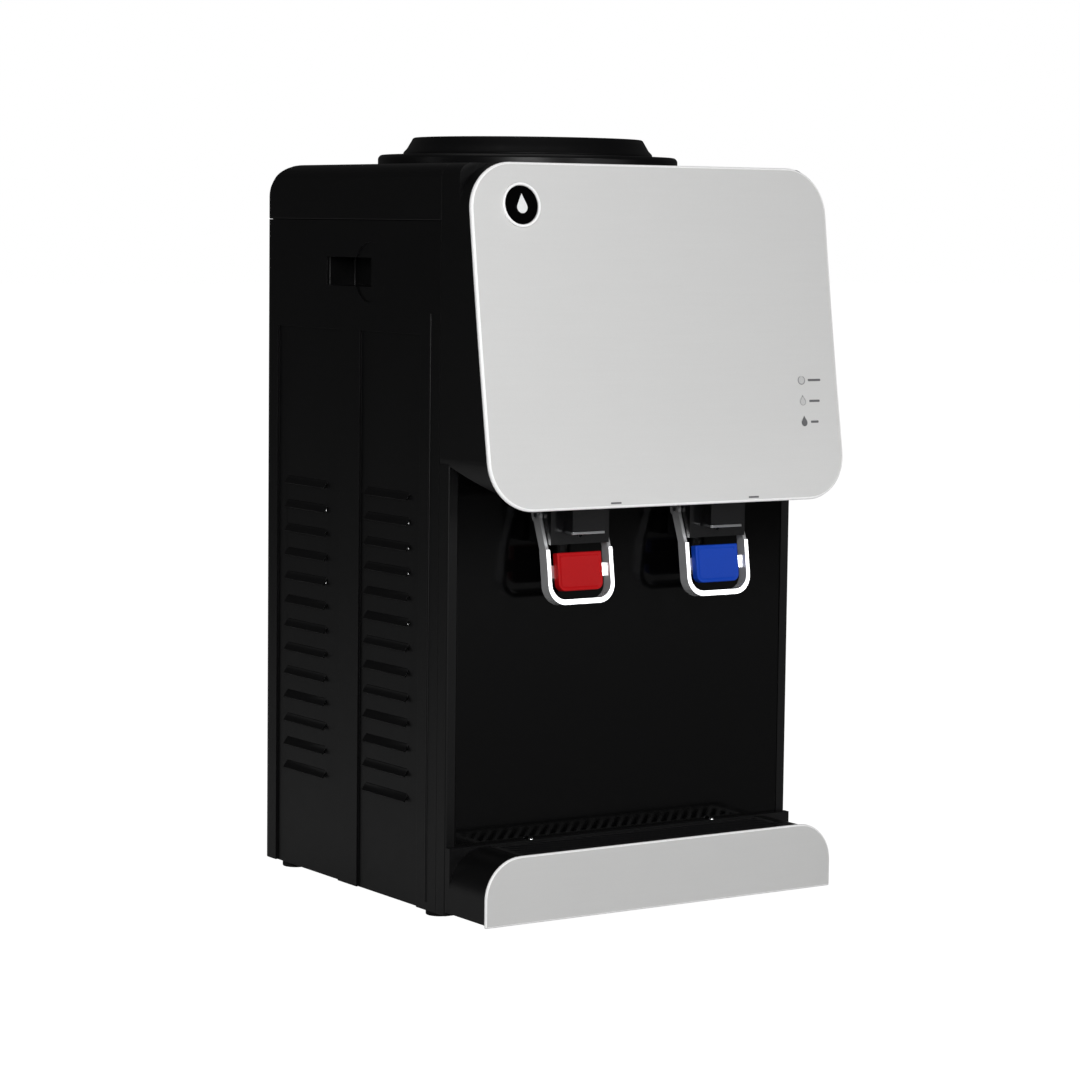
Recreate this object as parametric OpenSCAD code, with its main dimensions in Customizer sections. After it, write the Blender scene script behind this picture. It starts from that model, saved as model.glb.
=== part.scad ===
// Countertop bottled water dispenser with a silver fascia and two push taps

/* [Cabinet] */

// outside width of the cabinet
cabinet_width = 300; // [250:1:360]
// depth from the splash panel's face to the rear panel's face
cabinet_depth = 264; // [220:1:320]
// height from the cabinet's bottom edge to the flat of its top
cabinet_height = 526.5; // [438:0.5:632]
// how far the feet hold the cabinet off the table
foot_height = 5.5; // [4:0.5:12]
// thickness of the side and rear panels
panel_thickness = 2; // [1.5:0.1:3]
// wall thickness of the front frame, top cover and tray
moulding_wall = 2.5; // [2:0.1:3.5]
// height of the top cover, down to its seam
cover_height = 40; // [30:1:60]
// radius of the two upright rear corners
rear_corner_radius = 10; // [6:1:16]
// radius of the cabinet's upper side edges
side_top_radius = 10; // [4:0.5:14]
// radius of the top cover's rear edge
rear_top_radius = 42; // [20:1:50]
// gap left between pieces that do not move on each other
seat_gap = 0.3; // [0.2:0.05:0.5]
// radial clearance of pins that turn or slide
running_gap = 0.05; // [0.02:0.01:0.1]

/* [Side panels] */

// depth of the front frame's strip, up to the side seam
frame_strip_depth = 12; // [8:0.5:20]
// start of the front recessed band, from the splash face
front_band_start = 38.5; // [30:0.5:60]
// width of the front recessed band
front_band_width = 83.5; // [60:0.5:100]
// start of the rear recessed band, from the splash face
rear_band_start = 149; // [130:0.5:160]
// width of the rear recessed band
rear_band_width = 94; // [60:0.5:100]
// height of the recessed bands' top end
band_height = 407; // [300:1:420]
// depth of the recessed bands
band_depth = 1.8; // [1:0.1:2.5]
// number of louvre slots in each column
louvre_count = 13; // [6:1:16]
// height of the lowest louvre slot
louvre_start = 74; // [40:1:120]
// distance from one louvre slot to the next
louvre_pitch = 18; // [14:0.5:24]
// height of one louvre slot
louvre_height = 5; // [3:0.5:8]
// length of one louvre slot
louvre_length = 57; // [40:1:60]
// height of the hand grip's middle below the cabinet's top
grip_drop = 77.4; // [60:0.1:120]
// front end of the hand grip, from the splash face
grip_start = 108.5; // [90:0.5:130]
// length of the hand grip's opening
grip_length = 61; // [50:1:80]
// height of the hand grip's opening
grip_height = 21; // [18:0.5:28]
// depth of the hand grip's cup
grip_depth = 24; // [16:1:30]

/* [Head and fascia] */

// drop from the cabinet's top to the head's underside at the splash
head_height = 209.5; // [180:0.5:240]
// rise of the head's underside, per millimetre back
underside_slope = 0.339; // [0.1:0.001:0.5]
// how far the fascia's top edge stands ahead of the splash
fascia_top_reach = 27.6; // [20:0.1:40]
// how far the fascia's bottom edge stands ahead of the splash
fascia_bottom_reach = 63.1; // [50:0.1:80]
// upright height of the fascia
fascia_height = 238.3; // [200:0.1:260]
// how far the fascia stands past each side of the cabinet
fascia_overhang = 3.65; // [1:0.05:6]
// thickness of the fascia
fascia_thickness = 4; // [3:0.5:6]
// radius of the fascia's corners
fascia_corner_radius = 34; // [20:1:50]
// how deep the fascia's face is hollowed at mid height
fascia_bow = 1.45; // [0.5:0.05:4]
// badge's outer radius
badge_radius = 15.5; // [10:0.5:20]
// badge's distance from the middle of the cabinet
badge_offset = 113; // [90:1:125]
// badge's centre below the fascia's top edge
badge_drop = 29.5; // [24:0.5:60]
// indicator marks' distance from the middle of the cabinet
indicator_offset = 120; // [90:1:130]
// lowest indicator above the fascia's bottom edge
indicator_rise = 55.5; // [40:1:90]
// distance from one indicator to the next
indicator_pitch = 15; // [12:0.5:20]

/* [Taps] */

// distance between the two taps
tap_spacing = 120; // [100:1:160]
// outside width of the lever's chrome frame
lever_width = 56; // [52:0.5:64]
// length of the lever's chrome frame below its arms
lever_length = 39; // [34:0.5:50]
// thickness of the chrome strip, seen from the front
lever_strip = 3; // [2.5:0.1:4]
// front to back depth of the chrome strip
lever_depth = 9; // [6:0.5:12]
// lean of the lever, lower end forward
lever_lean = 8; // [0:0.5:14]
// width of the coloured pad
pad_width = 37.5; // [30:0.5:42]
// height of the coloured pad
pad_height = 27; // [20:0.5:32]
// width of the tap's front box
tap_box_width = 27.5; // [24:0.5:34]

/* [Drip tray] */

// how far the tray housing stands ahead of the splash
tray_reach = 52; // [45:0.5:80]
// height of the tray's rim above the cabinet's bottom edge
tray_height = 49; // [40:0.5:60]
// radius of the tray's and the skirt's upper corners
tray_corner_radius = 28; // [16:1:34]
// width of one grille slot
grille_slot = 4; // [3:0.25:6]
// distance from one grille slot to the next
grille_pitch = 9; // [7:0.25:14]

/* [Bottle collar] */

// outer radius of the collar's raised ring at its foot
collar_radius = 90; // [80:0.5:100]
// radius of the round plinth under the collar
plinth_radius = 111.5; // [100:0.5:120]
// height of the plinth above the cabinet's top
plinth_height = 8.1; // [5:0.1:14]
// height of the collar above the plinth
collar_height = 13; // [10:0.5:20]
// inside radius of the socket for the bottle's neck
neck_radius = 30; // [28:0.5:34]

/* [Tanks and cooling] */

// outside radius of the cold tank
cold_tank_radius = 70; // [60:1:74]
// outside radius of the foam round the cold tank
foam_radius = 95; // [88:1:104]
// outside radius of the hot tank
hot_tank_radius = 42; // [34:1:46]
// height of the hot tank
hot_tank_height = 112; // [90:1:130]
// outside radius of the compressor's shell
compressor_radius = 56; // [48:1:60]
// radius of the water hoses
hose_radius = 5; // [4:0.5:6]
// number of level runs in the condenser's tube
condenser_runs = 9; // [6:1:12]

/* [Hidden] */
$fn = 96;
half_width = cabinet_width / 2;
seam_z = cabinet_height - cover_height;
strip_width = 7.7;
inner_side = half_width - band_depth - panel_thickness;
rear_inner_y = cabinet_depth - panel_thickness;
drain_reach = 13;
front_y = -fascia_bottom_reach;
centre_y = (front_y + cabinet_depth + drain_reach) / 2;
tank_y = cabinet_depth / 2;
splash_thickness = 3;
frame_wall_y = splash_thickness + seat_gap;
frame_wall_back = frame_wall_y + moulding_wall;
grip_z = cabinet_height - grip_drop;
louvre_starts = [55, 171.5];
service_z = 60;
switch_z = 112;
switch_x = 10.5;

head_z = cabinet_height - head_height;
fascia_top_z = cabinet_height + 1;
fascia_slope = (fascia_bottom_reach - fascia_top_reach) / fascia_height;
fascia_lean = atan(fascia_slope);
fascia_chord = fascia_height / cos(fascia_lean);
fascia_mid_z = fascia_top_z - fascia_height / 2;
head_set_back = fascia_thickness + fascia_bow + seat_gap;
indicator_z = fascia_top_z - fascia_height + indicator_rise;

pivot_y = -16;
pivot_z = head_z - 35;
stem_arm = 10;
stem_y = pivot_y - stem_arm;
lever_top_y = -26;
lever_top_z = head_z - 59;
pin_radius = 2;
block_half = lever_width / 2 - lever_strip - seat_gap;
block_bottom = head_z - 55;
tail_z = head_z + 8.3;
tail_radius = 7;
tail_end = 20;
hose_y = 30;
badge_rim = 1.8;

tray_side = half_width - 32;
tray_front = -tray_reach + 3.5;
tray_back = -6.5;
basin_side = tray_side - seat_gap;
basin_front = tray_front + seat_gap;
basin_back = tray_back - seat_gap;

shelf_z = head_z - 14;
foam_bottom = shelf_z + 2 + seat_gap;
cold_bottom = foam_bottom + 12.7;
cold_top = cabinet_height - 56.5;
cold_outlet_x = 45;
cold_outlet_y = -37;
coil_tube = 3.5;
socket_low = cabinet_height - 42.5;
hot_x = 72;
hot_y = tank_y - 12;
hot_top = shelf_z - 41;
hot_bottom = hot_top - hot_tank_height;
hot_outlet_x = -12;
hot_outlet_y = -5;
comp_x = -62;
comp_y = tank_y + 36;
comp_top = 148;
comp_shell = 3.5;
discharge_z = comp_top + 20;
tube_radius = 2.5;
plinth_z = cabinet_height + plinth_height;
collar_top = plinth_z + collar_height;
condenser_x = half_width - 36;
condenser_low = 190;
condenser_high = seam_z - 36;
condenser_y = rear_inner_y - 4.7;
run_pitch = (condenser_high - condenser_low) / (condenser_runs - 1);
window_low = condenser_low - 20;
window_high = condenser_high + 20;
service_x = -half_width + 55;

function fascia_y(z) = -fascia_top_reach - (fascia_top_z - z) * fascia_slope;
function head_front(z, inset) = fascia_y(z) + (head_set_back + inset) / cos(fascia_lean);
function head_under(y, inset) = head_z + y * underside_slope + inset * 1.056;
function head_nose(inset) = (head_front(head_under(0, inset), inset))
    / (1 - fascia_slope * underside_slope);

// which node to draw, or all of them

// ---- helpers ----

// everything is drawn from the splash face and the cabinet's bottom edge, then put in place
module place() {
  translate([0, -centre_y, foot_height]) children();
}

module both_sides() {
  children();
  mirror([1, 0, 0]) children();
}

// box given by its low and high corners
module block(low, high) {
  translate(low) cube(high - low);
}

// plan of the cabinet with two round rear corners
module rear_round_plan(width, depth, radius) {
  translate([-width / 2, 0]) square([width, depth - radius]);
  translate([-width / 2 + radius, 0]) square([width - 2 * radius, depth]);
  translate([-width / 2 + radius, depth - radius]) circle(radius);
  translate([width / 2 - radius, depth - radius]) circle(radius);
}

// upright outline with two round upper corners, from height zero
module top_round_outline(width, height, radius) {
  intersection() {
    union() {
      translate([-width / 2, 0]) square([width, height - radius]);
      translate([-width / 2 + radius, 0]) square([width - 2 * radius, height]);
      translate([-width / 2 + radius, height - radius]) circle(radius);
      translate([width / 2 - radius, height - radius]) circle(radius);
    }
    translate([-width, 0]) square([2 * width, height + 1]);
  }
}

module rounded_rectangle(width, height, radius) {
  square([width - 2 * radius, height], center = true);
  square([width, height - 2 * radius], center = true);
  for (x = [-1, 1]) {
    for (y = [-1, 1]) {
      translate([x * (width / 2 - radius), y * (height / 2 - radius)]) circle(radius);
    }
  }
}

// stands an outline drawn in width and height on its edge, grown towards the front
module upright(front, back) {
  translate([0, back, 0]) rotate([90, 0, 0]) linear_extrude(height = back - front) children();
}

// outline drawn in depth and height, grown from the low to the high side
module sideways(low, high) {
  translate([low, 0, 0]) rotate([90, 0, 90]) linear_extrude(height = high - low) children();
}

// frame on the fascia's chord plane: first axis along the width, third out of the face
module on_fascia(x, z) {
  translate([x, fascia_y(z), z]) rotate([90 - fascia_lean, 0, 0]) children();
}

// rod from one point to another
module rod(from, to, radius) {
  step = to - from;
  length = norm(step);
  translate(from)
    rotate([0, acos(step[2] / length), atan2(step[1], step[0])])
      cylinder(h = length, r = radius);
}

// rods through a list of points with a ball elbow at each corner
module pipe(points, radius) {
  for (i = [0 : len(points) - 2]) {
    rod(points[i], points[i + 1], radius);
  }
  for (i = [1 : len(points) - 2]) {
    translate(points[i]) sphere(radius * 1.22);
  }
}

// ---- cabinet ----

module base_pan() {
  low_y = frame_strip_depth + seat_gap;
  high_y = rear_inner_y - 3.5;
  side = inner_side - seat_gap;
  color([0.12, 0.12, 0.13]) place() difference() {
    block([-side, low_y, 0], [side, high_y, 12]);
    block([-side + 1.6, low_y + 1.6, 1.6], [side - 1.6, high_y - 1.6, 13]);
    foot_spots() translate([0, 0, -1]) cylinder(h = 4, r = 4.3);
  }
}

module foot_spots() {
  for (x = [-1, 1]) {
    translate([x * (half_width - 16), 32, 0]) children();
    translate([x * (half_width - 16), cabinet_depth - 24, 0]) children();
  }
}

module feet() {
  color([0.05, 0.05, 0.05]) place() foot_spots() union() {
    translate([0, 0, -foot_height]) cylinder(h = foot_height - seat_gap, r = 10);
    translate([0, 0, -foot_height]) cylinder(h = foot_height + 5, r = 4);
  }
}

// sheet round one rear corner, plain all the way up
module side_sheet() {
  intersection() {
    linear_extrude(height = seam_z - seat_gap) difference() {
      rear_round_plan(cabinet_width, cabinet_depth, rear_corner_radius);
      rear_round_plan(cabinet_width - 2 * panel_thickness, cabinet_depth - panel_thickness,
        rear_corner_radius - panel_thickness);
    }
    block([-half_width - 1, frame_strip_depth + seat_gap, 0],
      [-half_width + rear_corner_radius + 2, cabinet_depth + 1, seam_z]);
  }
}

module side_panel_shape() {
  outer = -half_width;
  bands = [[front_band_start, front_band_width], [rear_band_start, rear_band_width]];
  difference() {
    union() {
      difference() {
        side_sheet();
        for (band = bands) {
          block([outer - 1, band[0], -1], [outer + band_depth, band[0] + band[1], band_height]);
        }
      }
      for (band = bands) {
        block([outer + band_depth, band[0] - 2, 0],
          [outer + band_depth + panel_thickness, band[0] + band[1] + 2, band_height + 2]);
      }
      // rounded bead near the front seam
      translate([outer + 0.4, 25.6, 6]) cylinder(h = band_height + 9, r = 1.2);
    }
    // grip opening with a round dish at its front end
    block([outer - 1, grip_start, grip_z - grip_height / 2],
      [outer + panel_thickness + 1, grip_start + grip_length, grip_z + grip_height / 2]);
    translate([outer - 1, grip_start, grip_z])
      rotate([0, 90, 0]) cylinder(h = 2.1, r = grip_height + 0.8);
    // louvre slots
    for (start = louvre_starts) {
      for (i = [0 : louvre_count - 1]) {
        block([outer - 1, start, louvre_start + i * louvre_pitch],
          [outer + 6, start + louvre_length, louvre_start + i * louvre_pitch + louvre_height]);
      }
    }
  }
  // leaning blade over each slot
  for (start = louvre_starts) {
    for (i = [0 : louvre_count - 1]) {
      translate([outer + band_depth + 0.4, start - 1, louvre_start + i * louvre_pitch + louvre_height])
        rotate([0, 33, 0])
          translate([0, 0, -louvre_height - 1.6]) cube([1.1, louvre_length + 2, louvre_height + 2.4]);
    }
  }
}

module left_side_panel() {
  color([0.06, 0.06, 0.065]) place() side_panel_shape();
}

module right_side_panel() {
  color([0.06, 0.06, 0.065]) place() mirror([1, 0, 0]) side_panel_shape();
}

module grip_cup_shape() {
  face = -half_width + panel_thickness + seat_gap;
  low_y = grip_start - 0.5;
  high_y = grip_start + grip_length + 0.5;
  low_z = grip_z - grip_height / 2 - 0.5;
  high_z = grip_z + grip_height / 2 + 0.5;
  difference() {
    union() {
      block([face, low_y - 8, low_z - 8], [face + 1.6, high_y + 8, high_z + 8]);
      block([face, low_y - 2, low_z - 2], [face + grip_depth, high_y + 2, high_z + 2]);
    }
    block([face - 1, low_y, low_z], [face + grip_depth - 2, high_y, high_z]);
  }
}

module left_grip_cup() {
  color([0.05, 0.05, 0.05]) place() grip_cup_shape();
}

module right_grip_cup() {
  color([0.05, 0.05, 0.05]) place() mirror([1, 0, 0]) grip_cup_shape();
}

module screw_spots() {
  for (x = [-1, 1]) {
    for (z = [24, (window_low + window_high) / 2, seam_z - 9]) {
      translate([x * (half_width - 21), cabinet_depth, z]) rotate([-90, 0, 0]) children();
    }
  }
}

module rear_panel() {
  side = half_width - rear_corner_radius - 2 - seat_gap;
  color([0.09, 0.09, 0.095]) place() difference() {
    block([-side, rear_inner_y, 0], [side, cabinet_depth, seam_z - seat_gap]);
    block([-condenser_x + 6, rear_inner_y - 1, window_low],
      [condenser_x - 6, cabinet_depth + 1, window_high]);
    translate([hot_x, rear_inner_y - 1, service_z]) rotate([-90, 0, 0])
      cylinder(h = panel_thickness + 2, r = 8.3);
    translate([service_x, rear_inner_y - 1, service_z]) rotate([-90, 0, 0])
      cylinder(h = panel_thickness + 2, r = 8.3);
    block([service_x - 22.3, rear_inner_y - 1, switch_z - 12.3],
      [service_x + 22.3, cabinet_depth + 1, switch_z + 12.3]);
    for (i = [0 : 4]) {
      block([-6, rear_inner_y - 1, 62 + i * 18], [44, cabinet_depth + 1, 67 + i * 18]);
    }
    screw_spots() translate([0, 0, -10]) cylinder(h = 12, r = 1.9);
  }
}

module panel_screws() {
  color([0.6, 0.6, 0.62]) place() screw_spots() union() {
    translate([0, 0, 0.1]) cylinder(h = 1.8, r = 3.4);
    translate([0, 0, -8]) cylinder(h = 9, r = 1.6);
  }
}

// ---- front frame, head and fascia ----

// outline of the head in depth and height, inset by a wall
module head_outline(inset, back) {
  nose = head_nose(inset);
  polygon([
    [back, cabinet_height - inset],
    [head_front(cabinet_height - inset, inset), cabinet_height - inset],
    [nose, head_under(nose, inset)],
    [0, head_under(0, inset)],
    [back, head_under(0, inset)]
  ]);
}

// the head seen from the front, inset by a wall, with its upper corners' radius
module head_face(inset, top_radius) {
  corner = fascia_corner_radius - fascia_overhang;
  low = fascia_top_z - fascia_height + fascia_overhang + inset;
  width = cabinet_width - 2 * inset;
  intersection() {
    top_round_outline(width, cabinet_height - inset, top_radius - inset);
    translate([0, low + cabinet_height]) mirror([0, 1])
      top_round_outline(width, cabinet_height, corner - inset);
  }
}

module column_plan() {
  corner = 1.5;
  translate([-half_width, corner]) square([strip_width, frame_strip_depth - corner]);
  translate([-half_width + corner, 0]) square([strip_width - corner, corner + 1]);
  translate([-half_width + corner, corner]) circle(corner);
}

module front_frame() {
  wall = moulding_wall;
  // the head's upper corners are rounder close behind the fascia
  step_y = 10;
  round_top = fascia_corner_radius - fascia_overhang;
  color([0.05, 0.05, 0.055]) place() difference() {
    union() {
      difference() {
        intersection() {
          sideways(-half_width, half_width) head_outline(0, frame_strip_depth);
          union() {
            upright(-fascia_bottom_reach, -step_y) head_face(0, round_top);
            upright(-step_y - 1, frame_strip_depth) head_face(0, side_top_radius);
          }
        }
        intersection() {
          sideways(-half_width, half_width) head_outline(wall, frame_strip_depth + 5);
          upright(-fascia_bottom_reach, frame_strip_depth + 5) head_face(wall, round_top);
        }
      }
      both_sides() linear_extrude(height = head_z + 1) column_plan();
      // wall behind the splash and across the head
      block([-half_width + 5, frame_wall_y, 0],
        [half_width - 5, frame_wall_back, cabinet_height - side_top_radius]);
    }
    // window for the head's wiring
    block([-90, 0, head_z + 70], [90, 10, cabinet_height - 30]);
    for (x = [-1, 1]) {
      // tap chambers come up through the head's underside
      translate([x * tap_spacing / 2, 0, 0]) block([-12.3, -34.3, head_z - 16], [12.3, -3.7, head_z + 22]);
      // tap tails go back through the wall
      translate([x * tap_spacing / 2, -5, tail_z]) rotate([-90, 0, 0])
        cylinder(h = 20, r = tail_radius + seat_gap);
      // room for the nuts behind the wall
      translate([x * tap_spacing / 2, 0, 0])
        block([-14, frame_wall_back, head_z - 1], [14, frame_strip_depth + 1, head_z + 10]);
    }
    for (i = [0 : 2]) {
      on_fascia(indicator_offset, indicator_z + i * indicator_pitch)
        translate([0, 0, -20]) cylinder(h = 24, r = 3.2);
    }
  }
}

module splash_panel() {
  side = half_width - strip_width - seat_gap;
  color([0.03, 0.03, 0.035]) place()
    block([-side, 0, 2], [side, splash_thickness, head_z - 0.5]);
}

// how far the fascia's face lies behind its chord, at a distance from its middle
function bow_at(height) = fascia_bow * (pow(2 * height / fascia_chord, 2) - 1);

// section of the fascia in height and thickness: a gently hollowed strip of flats
module fascia_section() {
  reach = fascia_chord / 2 + 2;
  flats = 12;
  heights = [for (i = [0 : flats]) -reach + i * 2 * reach / flats];
  front = [for (height = heights) [height, bow_at(height)]];
  back = [for (i = [flats : -1 : 0]) [heights[i], bow_at(heights[i]) - fascia_thickness]];
  polygon(concat(front, back));
}

module fascia_panel() {
  width = cabinet_width + 2 * fascia_overhang;
  color([0.72, 0.73, 0.74]) place() difference() {
    on_fascia(0, fascia_mid_z) intersection() {
      translate([0, 0, -12]) linear_extrude(height = 24)
        rounded_rectangle(width, fascia_chord, fascia_corner_radius);
      sideways(-width / 2 - 1, width / 2 + 1) fascia_section();
    }
    on_fascia(-badge_offset, fascia_top_z - badge_drop)
      translate([0, 0, -2.2]) cylinder(h = 6, r = badge_radius + seat_gap);
    for (i = [0 : 2]) {
      on_fascia(indicator_offset, indicator_z + i * indicator_pitch)
        translate([0, 0, -10]) cylinder(h = 14, r = 3.2);
    }
  }
}

module badge_ring() {
  color([0.85, 0.85, 0.87]) place() on_fascia(-badge_offset, fascia_top_z - badge_drop)
    difference() {
      translate([0, 0, -2]) cylinder(h = 3, r = badge_radius);
      translate([0, 0, -3]) cylinder(h = 6, r = badge_radius - badge_rim);
    }
}

module badge_disc() {
  color([0.04, 0.04, 0.05]) place() on_fascia(-badge_offset, fascia_top_z - badge_drop) {
    translate([0, 0, -2]) cylinder(h = 2.2, r = badge_radius - badge_rim - seat_gap);
    // plain raised water drop
    translate([0, -1.6, 0]) linear_extrude(height = 0.8) {
      circle(4.6);
      polygon([[-4.1, 2], [4.1, 2], [0, 10.5]]);
    }
  }
}

module indicator_lenses() {
  color([0.75, 0.75, 0.72]) place() for (i = [0 : 2]) {
    on_fascia(indicator_offset, indicator_z + i * indicator_pitch) union() {
      translate([0, 0, -14]) cylinder(h = 11, r = 1.8);
      translate([0, 0, -4.5]) cylinder(h = 3.5, r = 2.9);
    }
  }
}

module indicator_board() {
  length = 2 * indicator_pitch + 22;
  color([0.1, 0.3, 0.15]) place()
    on_fascia(indicator_offset, indicator_z + indicator_pitch)
      translate([-11, -length / 2, -16]) cube([22, length, 1.7]);
}

// ---- drip tray ----

module skirt_panel() {
  color([0.72, 0.73, 0.74]) place() upright(-tray_reach - 2.9, -tray_reach - seat_gap)
    translate([0, 1.1]) top_round_outline(cabinet_width + 2, tray_height - 0.8, tray_corner_radius + 1);
}

module tray_housing() {
  color([0.05, 0.05, 0.055]) place() difference() {
    union() {
      upright(-tray_reach, -5) translate([0, 3])
        top_round_outline(cabinet_width, tray_height - 4, tray_corner_radius);
      block([-half_width, -6, 3], [half_width, -seat_gap, tray_height]);
    }
    block([-tray_side, tray_front, 7], [tray_side, tray_back, tray_height + 5]);
    both_sides() block([-half_width + 3, tray_front, -1],
      [-tray_side - 3, tray_back, tray_height - tray_corner_radius - 3]);
  }
}

module drip_basin() {
  color([0.07, 0.07, 0.075]) place() difference() {
    block([-basin_side, basin_front, 7.3], [basin_side, basin_back, tray_height - 3.6]);
    block([-basin_side + 1.8, basin_front + 1.8, 9.3], [basin_side - 1.8, basin_back - 1.8, tray_height]);
  }
}

module drip_grille() {
  top = tray_height - 1;
  color([0.06, 0.06, 0.065]) place() difference() {
    union() {
      block([-basin_side, basin_front, tray_height - 3.3], [basin_side, basin_back, top]);
      block([-basin_side + 2.1, basin_front + 2.1, tray_height - 7],
        [basin_side - 2.1, basin_back - 2.1, tray_height - 3]);
    }
    block([-basin_side + 3.7, basin_front + 3.7, tray_height - 8],
      [basin_side - 3.7, basin_back - 3.7, tray_height - 3.3]);
    intersection() {
      block([-basin_side + 5, basin_front + 5, tray_height - 9], [basin_side - 5, basin_back - 5, top + 1]);
      for (x = [-basin_side - 20 : grille_pitch : basin_side + 40]) {
        translate([x, (basin_front + basin_back) / 2, tray_height - 10]) rotate([0, 0, 40])
          translate([-grille_slot / 2, -50, 0]) cube([grille_slot, 100, 20]);
      }
    }
  }
}

// ---- taps ----

module tap_body_shape() {
  difference() {
    union() {
      block([-tap_box_width / 2, -42, head_z - 47], [tap_box_width / 2, -30, head_z - 17]);
      block([-block_half, -31, block_bottom], [block_half, -4, head_z - 17]);
      block([-12, -34, head_z - 18], [12, -4, head_z + 21]);
      translate([0, -5, tail_z]) rotate([-90, 0, 0]) cylinder(h = tail_end + 5, r = tail_radius);
    }
    // pivot pin's hole
    translate([-block_half - 1, pivot_y, pivot_z]) rotate([0, 90, 0])
      cylinder(h = 2 * block_half + 2, r = pin_radius + running_gap);
    // room for the finger and the valve stem's head
    block([-6, -30.5, pivot_z - 8], [6, -12.5, pivot_z + 6]);
    translate([0, stem_y, pivot_z - 17]) cylinder(h = 10, r = 4.5);
    translate([0, stem_y, block_bottom - 1]) cylinder(h = 10, r = 2 + running_gap);
    // water way: tail, down to the valve, forward to the outlet
    translate([0, -20, tail_z]) rotate([-90, 0, 0]) cylinder(h = tail_end + 21, r = 4);
    translate([0, -18, pivot_z]) cylinder(h = tail_z - pivot_z, r = 4);
    translate([0, -37, pivot_z - 14]) rotate([-90, 0, 0]) cylinder(h = 11, r = 1.5);
    translate([0, -37, head_z - 48]) cylinder(h = 16, r = 3.5);
  }
}

module hot_tap_body() {
  color([0.05, 0.05, 0.055]) place() translate([-tap_spacing / 2, 0, 0]) tap_body_shape();
}

module cold_tap_body() {
  color([0.05, 0.05, 0.055]) place() translate([tap_spacing / 2, 0, 0]) tap_body_shape();
}

// outline with two round lower corners, hanging from height zero
module hanging_outline(width, height, radius) {
  mirror([0, 1]) top_round_outline(width, height, radius);
}

module lever_shape() {
  half = lever_width / 2;
  difference() {
    union() {
      translate([0, lever_top_y, lever_top_z]) rotate([-lever_lean, 0, 0]) {
        upright(-lever_depth / 2, lever_depth / 2) difference() {
          hanging_outline(lever_width, lever_length, 14);
          translate([0, 1]) hanging_outline(lever_width - 2 * lever_strip, lever_length - 2.6, 11);
        }
        block([-half + 1, lever_depth / 2 - 2.2, -20], [half - 1, lever_depth / 2 - 0.4, -11]);
      }
      both_sides() sideways(half - lever_strip + 0.2, half - 0.2) {
        polygon([
          [lever_top_y - lever_depth / 2, lever_top_z - 3],
          [lever_top_y + lever_depth / 2 - 1, lever_top_z - 3],
          [pivot_y + 3.4, pivot_z - 1.5],
          [pivot_y - 3.4, pivot_z + 1.5]
        ]);
        translate([pivot_y, pivot_z]) circle(5.2);
      }
    }
    translate([-half - 1, pivot_y, pivot_z]) rotate([0, 90, 0])
      cylinder(h = lever_width + 2, r = pin_radius + running_gap);
  }
}

module hot_lever() {
  color([0.85, 0.85, 0.87]) place() translate([-tap_spacing / 2, 0, 0]) lever_shape();
}

module cold_lever() {
  color([0.85, 0.85, 0.87]) place() translate([tap_spacing / 2, 0, 0]) lever_shape();
}

module pad_shape() {
  translate([0, lever_top_y, lever_top_z]) rotate([-lever_lean, 0, 0])
    upright(-lever_depth / 2 + 0.5, lever_depth / 2 - 2.2 - seat_gap)
      translate([0, -2.5]) hanging_outline(pad_width, pad_height, 6);
}

module hot_pad() {
  color([0.5, 0.03, 0.04]) place() translate([-tap_spacing / 2, 0, 0]) pad_shape();
}

module cold_pad() {
  color([0.05, 0.12, 0.5]) place() translate([tap_spacing / 2, 0, 0]) pad_shape();
}

module pivot_pin_shape() {
  half = lever_width / 2;
  translate([-half + 0.2, pivot_y, pivot_z]) rotate([0, 90, 0])
    cylinder(h = lever_width - 0.4, r = pin_radius);
  // finger that pushes the valve stem down
  block([-3, stem_y - 1, pivot_z - 1.2], [3, pivot_y, pivot_z + 1.2]);
}

module hot_pivot_pin() {
  color([0.6, 0.6, 0.62]) place() translate([-tap_spacing / 2, 0, 0]) pivot_pin_shape();
}

module cold_pivot_pin() {
  color([0.6, 0.6, 0.62]) place() translate([tap_spacing / 2, 0, 0]) pivot_pin_shape();
}

module valve_stem_shape() {
  translate([0, stem_y, pivot_z - 3.7]) cylinder(h = 2.2, r = 4.2);
  translate([0, stem_y, block_bottom + 0.5]) cylinder(h = pivot_z - 3 - block_bottom - 0.5, r = 2);
}

module hot_valve_stem() {
  color([0.85, 0.85, 0.82]) place() translate([-tap_spacing / 2, 0, 0]) valve_stem_shape();
}

module cold_valve_stem() {
  color([0.85, 0.85, 0.82]) place() translate([tap_spacing / 2, 0, 0]) valve_stem_shape();
}

// coil drawn as a pleated sleeve round the stem
module valve_spring_shape() {
  low = pivot_z - 17 + seat_gap;
  high = pivot_z - 3.7 - seat_gap;
  turns = 6;
  rise = (high - low) / turns;
  translate([0, stem_y, low]) rotate_extrude() {
    for (i = [0 : turns - 1]) {
      polygon([
        [2.5, i * rise], [3.3, i * rise], [3.9, (i + 0.5) * rise],
        [3.3, (i + 1) * rise], [2.5, (i + 1) * rise]
      ]);
    }
  }
}

module hot_valve_spring() {
  color([0.6, 0.6, 0.62]) place() translate([-tap_spacing / 2, 0, 0]) valve_spring_shape();
}

module cold_valve_spring() {
  color([0.6, 0.6, 0.62]) place() translate([tap_spacing / 2, 0, 0]) valve_spring_shape();
}

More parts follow.
